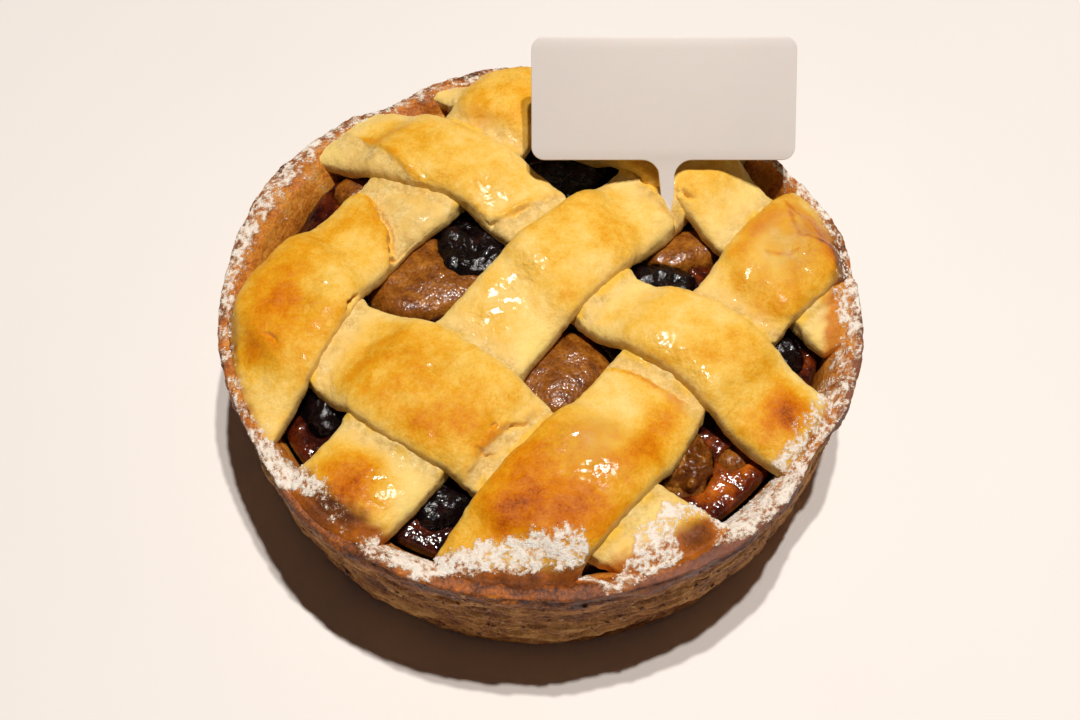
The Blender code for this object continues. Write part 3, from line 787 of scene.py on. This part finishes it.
# Where the washed top of a strip ends in a torn edge: strip, drop, how soon the dough beyond
# rises again, and the edge (mm). The lower dough is on the left, looking along the edge.
TORN_EDGES = (
    ("a1", 1.3, 4.5, ((-37, 21.3), (-33.4, 21.9), (-31, 21.9), (-28.6, 20.6), (-27.1, 16.8),
                      (-25.3, 13.6), (-24.9, 10.1), (-24, 4))),
    ("a2", 1, 3.5, ((14, 30), (17.7, 23.3), (20.1, 20.2), (22, 17.3), (25, 12.5))),
    ("a3", 0.8, 2.5, ((8, -13), (11.3, -13.8), (14, -14.6), (16.3, -15.7), (22, -19.5))),
    ("b1", 0.4, 3, ((-12.3, 16.3), (-16.8, 18), (-20.1, 21.1), (-23.6, 25.7), (-26.5, 28.8),
                      (-31, 33.5))),
    ("b1", 0.4, 3.5, ((5, 22), (-1.5, 18.6), (-4.7, 16.3), (-8.4, 15.1), (-11, 16.9), (-15, 15))),
    ("b2", 0.35, 2.5, ((0.5, -22), (-2.7, -24.5), (-5.8, -26.1), (-9, -29.6), (-11, -33))),
)
# Cracks: strip, depth, half width and the line (mm)
CRACKS = (
    ("a1", 1.3, 0.30, ((-28.8, 20.4), (-27.1, 16.8), (-25.3, 13.6), (-24.9, 10.1), (-24.4, 6))),
    ("a1", 1.6, 0.32, ((-29.6, -0.8), (-30.7, -2.4), (-31, -4))),
    ("a1", 2, 0.40, ((-30.8, -5.5), (-31.8, -7.2))),
    ("a1", 0.5, 0.30, ((-44, -8.6), (-42.4, -9.4), (-41.4, -10.6))),
    ("b1", 0.6, 0.28, ((-11, 16.9), (-8.4, 15.1), (-6.6, 15.4))),
    ("b1", 0.8, 0.28, ((-5.4, 15.8), (-3.4, 17.2), (-1.2, 18.7))),
    ("b2", 0.8, 0.26, ((-5.8, -26.1), (-4.2, -25.1), (-1.6, -24.2))),
    ("b2", 0.6, 0.24, ((-9.4, -29.4), (-8, -30), (-6.9, -29.7))),
    ("b2", 0.5, 0.24, ((-7.4, -25.7), (-6.8, -25.2))),
    ("a3", 0.7, 0.28, ((11, -13.5), (14, -14.4), (16.3, -15.5))),
    ("b0", 1.2, 0.45, ((23.4, 20.2), (24.8, 19.2), (26, 18.6))),
)
# Shallow cracks in the egg wash, which baked dark
WASH_CRACKS = (
    ("a3", ((37.2, 6.9), (38.1, 6.6), (40.8, 6.4), (42.5, 7.6))),
    ("a3", ((42.1, 16), (42.3, 14), (43.1, 10.8), (45.8, 10.2), (48.1, 9.4))),
    ("a3", ((41.6, 18.6), (42.6, 17), (43.6, 15.9))),
    ("a3", ((11.5, -14.6), (14, -15.3), (16.3, -16.4), (18.3, -17.6))),
)
# Browned places: strip, middle, half length, half width (mm), turn (degrees), how brown
BROWN_PLACES = (
    ("a1", -31.5, 17.5, 6, 4, 55, 0.18),
    ("a1", -45, -9, 12, 5, 70, 0.25),
    ("a2", -29, -35, 6, 6, 30, 0.66),
    ("a2", -38.5, -39.5, 4, 3, 30, 0.16),
    ("a2", -25, -42.5, 5, 2.5, -30, 0.16),
    ("a2", 12, 14, 6, 5, 45, 0.06),
    ("a3", 0.5, -38.5, 9, 6.5, 30, 0.32),
    ("a3", -3.5, -43, 10, 4, 10, 0.12),
    ("a3", -3, -51, 12, 2, 0, 0.20),
    ("a3", 17.6, -26.5, 8, 2.6, 60, 0.34),
    ("a3", 47.6, 10.5, 7, 2, 115, 0.36),
    ("a3", 42, 2, 7, 4, 60, 0.12),
    ("a3", 36.5, 12, 8, 1.4, 45, 0.14),
    ("b0", -6, 45, 12, 4.5, -25, 0.16),
    ("b1", -27, 33, 8, 4.5, -20, 0.22),
    ("b1", -13, 26, 9, 4, -40, 0.08),
    ("b1", 38.6, -21.5, 5.5, 5, 50, 0.60),
    ("b1", 33, -27, 8, 3, -35, 0.34),
    ("b2", -20, -15, 10, 6, -35, 0.16),
    ("b2", -25, -21.5, 9, 3, -35, 0.14),
    ("b2", -13, -25, 8, 4, -35, 0.14),
    ("b2", -7.5, -29, 2.6, 1.6, 60, 0.26),
    ("b2", 23.6, -43, 4.6, 3, -25, 0.32),
)
# Where the egg wash is thin and satin, and the dough is painted paler as a painted sheen: strip,
# middle, half length, half width, turn, share
THIN_WASH_AND_SHEEN = (
    ("a3", 40.5, 9, 7, 5, 60, 0.45),
    ("a3", 8.5, -28, 5, 4, 50, 0.30),
)
# Where the egg wash lies thick and glitters: strip, middle, half length, half width, turn
WET_PLACES = (
    ("a1", -37, -3, 3, 1.8, 60),
    ("a1", -35, 0.5, 2.5, 1.2, 60),
    ("a1", -6.1, 34.2, 2, 1.4, 50),
    ("a2", -7.5, -3.5, 5, 3, 45),
    ("a2", -2.5, 3, 5, 2.2, 50),
    ("a2", 13.2, 6.4, 2, 1.4, 45),
    ("a2", -24, -33, 3, 3, 40),
    ("b2", -14.5, -16, 4.5, 2.4, 0),
    ("b2", -21.5, -13.2, 3, 2, 0),
    ("a3", 3.5, -28.5, 4, 2.2, 40),
    ("a3", 8.4, -33, 2.2, 2.5, 90),
    ("a3", 43, 6, 6, 3.6, 70),
    ("a3", 43.6, 12.3, 3, 2.6, 60),
    ("a3", 33.1, 1, 2, 1.6, 60),
    ("b1", 19.8, -11.6, 3.5, 1.4, -40),
    ("b1", 24.6, -16.5, 2, 1.6, -40),
    ("b1", -20.4, 21.9, 4, 2, -40),
    ("b1", -6.8, 19.7, 3, 1.8, -40),
)


def place_share(points, x, y, half_length, half_width, turn):
    """1 at the middle of a long place on the lid, falling to 0 at its edge."""
    across_x = points[:, 0] / MM - x
    across_y = points[:, 1] / MM - y
    cos, sin = math.cos(math.radians(turn)), math.sin(math.radians(turn))
    along = (across_x * cos + across_y * sin) / half_length
    beside = (across_y * cos - across_x * sin) / half_width
    return np.exp(-(along**2 + beside**2))


def own(table, letter):
    """The rows of a table that are for one strip, without its letter."""
    return [row[1:] for row in table if row[0] == letter]


def wet_share(points, letter):
    """How thick the egg wash lies on a strip at each point, from 0 to about 1."""
    wet = np.zeros(len(points))
    for place in own(WET_PLACES, letter):
        wet += place_share(points, *place)
    return np.minimum(wet, 1.0)


def line_reach(points, line):
    """The distance in mm from a line in plan, above 0 on its left, and the share run of it."""
    place = points[:, :2] / MM
    line = np.array(line, float)
    lengths = np.linalg.norm(np.diff(line, axis=0), axis=1)
    starts = np.concatenate([[0.0], np.cumsum(lengths)])
    nearest = np.full(len(points), 1e9)
    signed = np.zeros(len(points))
    run = np.zeros(len(points))
    for start, end, length, before in zip(line, line[1:], lengths, starts):
        way = (end - start) / length
        offset = place - start
        along = np.clip(offset @ way, 0.0, length)
        away = np.linalg.norm(offset - along[:, None] * way, axis=1)
        side = np.where(way[0] * offset[:, 1] - way[1] * offset[:, 0] > 0.0, 1.0, -1.0)
        closer = away < nearest
        nearest = np.where(closer, away, nearest)
        signed = np.where(closer, side * away, signed)
        run = np.where(closer, (before + along) / starts[-1], run)
    return signed, run


def flat_distance(points, piece):
    """The distance in plan from each point to a piece."""
    spots = points_of(piece)[::SPOT_STEP]
    tree = KDTree(len(spots))
    for number, spot in enumerate(spots):
        tree.insert((spot[0], spot[1], 0.0), number)
    tree.balance()
    return np.array([tree.find((x, y, 0.0))[2] for x, y, _ in points])


def dough_surface():
    material, tree = new_surface("egg_washed_dough")
    pale = painted(tree, "pale")
    wet = painted(tree, "wet")
    fine = grain(tree, 0.45 * MM, 4.0, 0.65)
    middle = grain(tree, 1.7 * MM, 3.0, 0.6, offset=0.2)
    broad = grain(tree, 6.0 * MM, 3.0, 0.55, offset=0.6)
    tone = swayed(tree, painted(tree, "bake"), (middle, 0.32), (broad, 0.5), (fine, 0.36))
    washed = shades(tree, tone, (
        (0.0, 255, 226, 134),
        (0.2, 252, 214, 126),
        (0.4, 243, 193, 78),
        (0.56, 232, 164, 30),
        (0.72, 220, 132, 8),
        (0.88, 194, 98, 4),
        (1.0, 124, 54, 8),
    ))
    bare = shades(tree, plus(tree, calc(tree, "MULTIPLY", middle, 0.5), fine, 0.5), (
        (0.36, 196, 156, 82),
        (0.5, 222, 190, 118),
        (0.64, 242, 218, 160),
    ))
    colour = blend_colour(tree, pale, washed, bare)
    colour = blend_colour(tree, painted(tree, "pool"), colour, srgb(240, 190, 40))
    brown = rim_colour(tree, calc(tree, "ADD", tone, 0.26))
    colour = blend_colour(tree, painted(tree, "rim"), colour, brown)
    drops = spread(tree, grain(tree, 1.1 * MM, 2.0, 0.5, offset=0.5), 0.42, 0.62)
    height = plus(tree, fine, middle, 0.8)
    height = plus(tree, height, calc(tree, "MULTIPLY", drops, wet), 0.9)
    rough = plus(tree, spread(tree, middle, 0.35, 0.65, 0.30, 0.40), pale, 0.25)
    colour, rough, height = sugared(tree, colour, rough, height)
    finish_surface(tree, {
        "Base Color": colour,
        "Roughness": rough,
        "Normal": bumped(tree, height, DOUGH_GRAIN, 0.9),
        "Coat Normal": bumped(tree, height, DOUGH_GRAIN, 0.22),
        "Coat Weight": calc(tree, "MINIMUM", wet, 1.0),
        "Coat Roughness": 0.1,
        "IOR": 1.36,
        "Specular IOR Level": 0.2,
        "Subsurface Weight": 0.15,
        "Subsurface Radius": (1.0, 0.55, 0.2),
        "Subsurface Scale": 1.4 * MM,
    })
    return material


def rolled_strip(letter):
    piece = solid_copy(f"dough_strip_{letter}", f"lattice_strip_{letter}")
    refined(piece, DOUGH_VOXEL, 22)
    return piece


def shape_dough(piece, letter, beside, folded, seed):
    """Swells a strip, wrinkles it where it is folded, tears, cracks and pinches it."""
    points = points_of(piece)
    normals = normals_of(piece)
    upward = smooth_step(normals[:, 2], 0.1, 0.5)
    rise = DOUGH_SWELL + relief(points, DOUGH_RELIEF, seed)
    rise += DOUGH_SHOULDER * MM * bell(normals[:, 2], 0.55, 0.3)
    rise += folded * relief(points, WRINKLES, seed + 5)
    rise += wet_share(points, letter) * relief(points, WET_RELIEF, seed + 17)
    for depth, half_width, line in own(CRACKS, letter):
        away, run = line_reach(points, line)
        open_part = np.clip(1.2 * np.sin(math.pi * run), 0.0, 1.0) + 0.35
        away += 0.35 * uneven(points, 1.1 * MM, seed + 8)
        rise -= MM * depth * upward * open_part * bell(away, 0.0, half_width)
    moved = points + normals * rise[:, None]
    flank = MM * smooth_step(-normals[:, 2], -0.3, 0.35)
    moved[:, :2] += normals[:, :2] * (FLANK_OUT * flank)[:, None]
    moved[:, 2] -= FLANK_DOWN * flank
    for x, y, reach, height in own(PUSHED_UP, letter):
        moved[:, 2] += height * MM * upward * bell(away_from(points, x, y), 0.0, reach)
    for drop, run_out, line in own(TORN_EDGES, letter):
        away, _ = line_reach(points, line)
        away += 0.5 * uneven(points, 2.0 * MM, seed + 9)
        away += 0.25 * uneven(points, 0.8 * MM, seed + 10)
        lower = smooth_step(away, -0.15, 0.2) * np.exp(-np.clip(away, 0.0, None) / run_out)
        moved[:, 2] += MM * upward * (0.2 * bell(away, -0.7, 0.6) - drop * lower)
    rise, reach = CREASE_FILL
    moved[:, 2] += rise * MM * upward * bell(beside, 0.0, reach * MM)
    angle, radius = polar(moved)
    flush = pinched_rim(angle, radius) + FLUSH_ABOVE
    middle, width, above = PROUD_END
    flush += above * bell(angle, middle, width)
    pinched = smooth_step(radius, *PINCHED_RADIUS)
    moved[:, 2] += pinched * (np.minimum(moved[:, 2], flush) - moved[:, 2])
    move_points(piece, moved)


def paint_dough(piece, letter, folded, pooled, seed):
    """Paints how brown, pale, wet and sugared a strip is, and lays the sugar on it."""
    points = points_of(piece)
    normals = normals_of(piece)
    cut_edge = 1.0 - smooth_step(normals[:, 2], 0.15, 0.75)
    torn = np.zeros(len(points))
    angle, radius = polar(points)
    bed = BED_HEIGHT - BED_FALL * (radius / RIM_RADIUS) ** 2
    bake = BAKED[letter] + HIGH_BAKE * smooth_step(points[:, 2] - bed, *HIGH_FROM)
    bake += 0.16 * uneven(points, 9.0 * MM, seed + 6) + 0.06 * uneven(points, 3.0 * MM, seed + 11)
    for _, run_out, line in own(TORN_EDGES, letter):
        away, _ = line_reach(points, line)
        bared = smooth_step(away, -0.1, 0.4) * np.exp(-((away / run_out) ** 2) / 4.0)
        torn = np.maximum(torn, bared)
        bake += 0.14 * bell(away, -0.5, 0.8)
    for *place, amount in own(BROWN_PLACES, letter):
        bake += amount * place_share(points, *place)
    for (line,) in own(WASH_CRACKS, letter):
        away, _ = line_reach(points, line)
        away += 0.4 * uneven(points, 1.3 * MM, seed + 7)
        bake += 0.24 * bell(away, 0.0, 0.35)
    wet = wet_share(points, letter)
    wet += 0.35 * smooth_step(uneven(points, 3.5 * MM, seed + 14), 0.4, 0.8)
    start = np.interp(angle, *np.transpose(BROWN_FROM)) * MM
    start += 0.7 * MM * uneven(points, 2.0 * MM, seed + 15)
    rim = smooth_step(radius - start, -0.8 * MM, 1.4 * MM)
    wobble = 0.35 * uneven(points, 2.2 * MM, seed + 12)
    pale = np.maximum(np.maximum(0.75 * folded, 0.8 * torn), 0.55 * cut_edge)
    # Painted sheen: these places are painted paler for the satin sheen on the egg wash
    for *place, share in own(THIN_WASH_AND_SHEEN, letter):
        pale += share * place_share(points, *place)
    pale += wobble * smooth_step(pale, 0.1, 0.4)
    patchy = smooth_step(uneven(points, 5.0 * MM, seed + 16), -0.15, 0.35)
    sugar = sugar_cover(points, normals)
    lumps = SUGAR_ON_DOUGH * sugar * (1.0 + uneven(points, 0.6 * MM, 20))
    move_points(piece, points + normals * lumps[:, None])
    shares = {
        "bake": bake,
        "pale": pale * (1.0 - rim),
        "wet": wet * (1.0 - 0.6 * cut_edge),
        "pool": 0.7 * pooled * patchy * (1.0 - cut_edge),
        "rim": rim,
        "sugar": sugar,
    }
    for name, values in shares.items():
        paint(piece, name, values)


def make_lid():
    material = dough_surface()
    strips = {letter: rolled_strip(letter) for letter in STRIPS_OVER}
    beside = {}
    for letter, piece in strips.items():
        points = points_of(piece)
        beside[letter] = np.min(
            [flat_distance(points, strips[other]) for other in STRIPS_OVER[letter]], axis=0
        )
    for number, (letter, piece) in enumerate(strips.items()):
        seed = 200 + 20 * number
        folded = 1.0 - smooth_step(beside[letter], 0.8 * MM, 5.0 * MM)
        pooled = 1.0 - smooth_step(beside[letter], 0.9 * MM, 1.9 * MM)
        shape_dough(piece, letter, beside[letter], folded, seed)
        paint_dough(piece, letter, folded, pooled, seed)
        piece.data.materials.append(material)
        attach(piece, "root")
        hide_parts(f"lattice_strip_{letter}")
    return strips


dough_strips = make_lid()

# --- Icing sugar and loose flakes -------------------------------------------------------
# The sugar was sieved on and lies in small soft clumps on the rim. Flakes and crumbs of the
# dry crust stand off the side.

SUGAR_CLUMPS = 5500
CLUMP_SIZE = (0.06 * MM, 0.18 * MM)
LOOSE_FLAKES = 2600
FLAKE_SIZE = (0.22 * MM, 0.62 * MM)
SPREAD_SEED = 77


def attribute_of(piece, name):
    return numbers_of(piece.data.attributes[name].data, "value", 1)[:, 0]


def chosen_spots(pieces, weigh, count, draw):
    """Random points and normals on pieces, more of them where weigh() is higher."""
    points = np.concatenate([points_of(piece) for piece in pieces])
    normals = np.concatenate([normals_of(piece) for piece in pieces])
    weight = np.concatenate([weigh(piece) for piece in pieces])
    pick = draw.choice(len(points), size=count, replace=False, p=weight / weight.sum())
    return points[pick], normals[pick]


def strewn(name, kind, spots, normals, sizes, draw):
    """One mesh of many copies of a kind, each lying on its spot, turned its own way."""
    shape = points_of(kind)
    faces = np.array([tuple(face.vertices) for face in kind.data.polygons])
    first = np.cross(normals, draw.normal(size=normals.shape))
    first /= np.linalg.norm(first, axis=1)[:, None]
    second = np.cross(normals, first)
    turns = np.stack([first, second, normals], axis=2)
    copies = np.einsum("nij,nkj->nki", turns, shape[None] * sizes[:, None, :]) + spots[:, None, :]
    numbers = (faces[None] + (np.arange(len(spots)) * len(shape))[:, None, None]).reshape(-1, 3)
    mesh = bpy.data.meshes.new(name)
    mesh.from_pydata(copies.reshape(-1, 3).tolist(), [], numbers.tolist())
    piece = bpy.data.objects.new(name, mesh)
    bpy.context.scene.collection.objects.link(piece)
    bpy.data.objects.remove(kind)
    return piece


def small_lump(unevenness, seed):
    """One lump of 20 faces, which reaches about 1 each way from its middle."""
    bpy.ops.mesh.primitive_ico_sphere_add(subdivisions=1, radius=1.0)
    lump = bpy.context.object
    draw = np.random.default_rng(seed)
    points = points_of(lump)
    move_points(lump, points * (1.0 + unevenness * draw.uniform(-1.0, 1.0, (len(points), 1))))
    return lump


def random_sizes(bounds, count, flatness, draw):
    size = bounds[0] + (bounds[1] - bounds[0]) * draw.random(count) ** 2
    return np.stack([size, size * draw.uniform(0.6, 1.0, count), size * flatness], axis=1)


def sugar_clump_surface():
    material, tree = new_surface("icing_sugar")
    tone = grain(tree, 0.8 * MM, 2.0, 0.5)
    finish_surface(tree, {
        "Base Color": blend_colour(tree, tone, srgb(246, 238, 228), srgb(255, 253, 250)),
        "Roughness": 0.85,
        "Subsurface Weight": 0.3,
        "Subsurface Scale": 0.4 * MM,
    })
    return material


def flake_surface():
    material, tree = new_surface("loose_crust_flakes")
    colour = shades(tree, grain(tree, 1.6 * MM, 2.0, 0.6, offset=0.9), (
        (0.3, 92, 48, 24),
        (0.5, 160, 104, 56),
        (0.7, 212, 164, 100),
    ))
    finish_surface(tree, {"Base Color": colour, "Roughness": 0.6})
    return material


def make_sugar_and_flakes():
    draw = np.random.default_rng(SPREAD_SEED)
    sugared_pieces = [pastry_case, *dough_strips.values()]
    spots, normals = chosen_spots(
        sugared_pieces, lambda piece: attribute_of(piece, "sugar") ** 2, SUGAR_CLUMPS, draw
    )
    sizes = random_sizes(CLUMP_SIZE, SUGAR_CLUMPS, 0.7, draw)
    clumps = strewn("icing_sugar_clumps", small_lump(0.25, 1), spots, normals, sizes, draw)
    clumps.data.materials.append(sugar_clump_surface())

    spots, normals = chosen_spots(
        [pastry_case],
        lambda piece: attribute_of(piece, "side") * (attribute_of(piece, "bake") + 0.1),
        LOOSE_FLAKES, draw,
    )
    sizes = random_sizes(FLAKE_SIZE, LOOSE_FLAKES, 0.45, draw)
    flakes = strewn("loose_crust_flakes", small_lump(0.35, 2), spots, normals, sizes, draw)
    flakes.data.materials.append(flake_surface())
    for piece in (clumps, flakes):
        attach(piece, "root")


make_sugar_and_flakes()

# --- Name tag ---------------------------------------------------------------------------
# A flat pick of white plastic, cut with rounded corners and a stem that narrows to a
# spike. It is pushed into the strips and leans back. Its plate is bare.

TAG_WIDTH = 44.5 * MM
TAG_HEIGHT = 20.5 * MM
TAG_CORNER = 2.2 * MM
TAG_THICKNESS = 0.9 * MM
TAG_EDGE = 0.15 * MM
STEM_LENGTH = 6.2 * MM
STEM_FILLET = 3.0 * MM
STEM_SIDE = 0.8 * MM
SPIKE_HALF = 1.1 * MM
ARC_STEPS = 10
SPIKE_LENGTH = 5.2 * MM
TAG_LEAN = math.radians(50.0)
TAG_FOOT = Vector((21.6, 19.5, 32.7)) * MM


def corner_arc(centre_x, centre_y, radius, start, end):
    turns = np.radians(np.linspace(start, end, ARC_STEPS + 1))
    return [(centre_x + radius * math.cos(a), centre_y + radius * math.sin(a)) for a in turns]


def tag_outline():
    """The pick seen from the front, its foot at the origin and Y up the plate."""
    left, right = -TAG_WIDTH / 2.0 - STEM_SIDE, TAG_WIDTH / 2.0 - STEM_SIDE
    bottom, top = STEM_LENGTH, STEM_LENGTH + TAG_HEIGHT
    corner, fillet = TAG_CORNER, STEM_FILLET
    outline = []
    corners = ((right, bottom), (right, top), (left, top), (left, bottom))
    for number, (x, y) in enumerate(corners):
        inner_x = x - math.copysign(corner, x)
        inner_y = y + corner if y == bottom else y - corner
        outline += corner_arc(inner_x, inner_y, corner, 90.0 * number - 90.0, 90.0 * number)
    outline += corner_arc(-SPIKE_HALF - fillet * 1.1, bottom - fillet, fillet, 90.0, 20.0)
    outline += [(-SPIKE_HALF, 0.0), (0.0, -SPIKE_LENGTH), (SPIKE_HALF, 0.0)]
    outline += corner_arc(SPIKE_HALF + fillet, bottom - fillet, fillet, 180.0, 90.0)
    return outline


def tag_surface():
    material, tree = new_surface("white_plastic")
    cloud = grain(tree, 14.0 * MM, 2.0, 0.5)
    dust = grain(tree, 0.3 * MM, 2.0, 0.5, offset=0.8)
    finish_surface(tree, {
        "Base Color": blend_colour(tree, cloud, srgb(224, 216, 210), srgb(230, 222, 216)),
        "Roughness": spread(tree, dust, 0.3, 0.7, 0.32, 0.42),
        "Normal": bumped(tree, dust, 0.01 * MM, 0.4),
        "Subsurface Weight": 0.1,
        "Subsurface Scale": 1.0 * MM,
    })
    return material


def make_tag():
    curve = bpy.data.curves.new("name_pick", "CURVE")
    curve.dimensions = "2D"
    curve.fill_mode = "BOTH"
    curve.extrude = TAG_THICKNESS / 2.0 - TAG_EDGE
    curve.bevel_depth = TAG_EDGE
    curve.bevel_resolution = 2
    curve.offset = -TAG_EDGE
    outline = tag_outline()
    spline = curve.splines.new("POLY")
    spline.points.add(len(outline) - 1)
    for point, (x, y) in zip(spline.points, outline):
        point.co = (x, y, 0.0, 1.0)
    spline.use_cyclic_u = True
    piece = bpy.data.objects.new("name_pick", curve)
    bpy.context.scene.collection.objects.link(piece)
    take(piece)
    bpy.ops.object.convert(target="MESH")
    piece = bpy.context.object
    bpy.ops.object.mode_set(mode="EDIT")
    bpy.ops.mesh.select_all(action="SELECT")
    bpy.ops.mesh.remove_doubles(threshold=0.005 * MM)
    bpy.ops.mesh.normals_make_consistent(inside=False)
    bpy.ops.object.mode_set(mode="OBJECT")
    stand = Matrix.Translation(TAG_FOOT) @ Matrix.Rotation(math.pi / 2.0 - TAG_LEAN, 4, "X")
    piece.data.transform(stand)
    bpy.ops.object.shade_smooth_by_angle(angle=math.radians(35.0))
    piece.data.materials.clear()
    piece.data.materials.append(tag_surface())
    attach(piece, "root")
    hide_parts("name_tag")


make_tag()

# --- Floor, light and camera ------------------------------------------------------------
# A plain pale sheet under two small studio lights, high up, a little to the right and to
# the back, and a dim even light all round. It is seen from the front and above.

CAMERA_PLACE = Vector((0.0, -0.141, 0.232))
CAMERA_AIM = Vector((0.0, -0.0075, 0.0236))
RIGHT_LIGHT = (0.099, -0.002, 0.80)
BACK_LIGHT = (0.039, 0.044, 0.80)
LIGHT_SIZE = 0.022
LIGHT_POWER = 3.3
LIGHT_COLOUR = (1.0, 0.945, 0.895)
WORLD_STRENGTH = 0.022
WORLD_COLOUR = (0.97, 0.99, 1.0, 1.0)
FLOOR_SIZE = 2.0
CAMERA_SENSOR = 36.0
CAMERA_LENS = 50.0


def make_floor():
    bpy.ops.mesh.primitive_plane_add(size=FLOOR_SIZE)
    floor = bpy.context.object
    floor.name = "pale_floor"
    material, tree = new_surface("pale_floor")
    tone = grain(tree, 60.0 * MM, 2.0, 0.5)
    finish_surface(tree, {
        "Base Color": blend_colour(tree, tone, srgb(245, 240, 235), srgb(249, 245, 241)),
        "Roughness": 0.7,
    })
    floor.data.materials.append(material)


def add_light(name, place):
    data = bpy.data.lights.new(name, "AREA")
    data.shape = "DISK"
    data.size = LIGHT_SIZE
    data.energy = LIGHT_POWER
    data.color = LIGHT_COLOUR
    light = bpy.data.objects.new(name, data)
    light.location = place
    light.rotation_euler = (CAMERA_AIM - Vector(place)).to_track_quat("-Z", "Y").to_euler()
    bpy.context.scene.collection.objects.link(light)


def make_camera():
    data = bpy.data.cameras.new("photo_camera")
    data.sensor_width = CAMERA_SENSOR
    data.lens = CAMERA_LENS
    data.clip_start = 0.01
    camera = bpy.data.objects.new("photo_camera", data)
    camera.location = CAMERA_PLACE
    camera.rotation_euler = (CAMERA_AIM - CAMERA_PLACE).to_track_quat("-Z", "Y").to_euler()
    bpy.context.scene.collection.objects.link(camera)
    bpy.context.scene.camera = camera


def make_world():
    world = bpy.data.worlds.new("studio")
    world.use_nodes = True
    back = world.node_tree.nodes["Background"]
    fill_in(world.node_tree, back, {"Color": WORLD_COLOUR, "Strength": WORLD_STRENGTH})
    bpy.context.scene.world = world


make_floor()
make_world()
add_light("right_light", RIGHT_LIGHT)
add_light("back_light", BACK_LIGHT)
make_camera()
bpy.context.scene.view_settings.view_transform = "Standard"
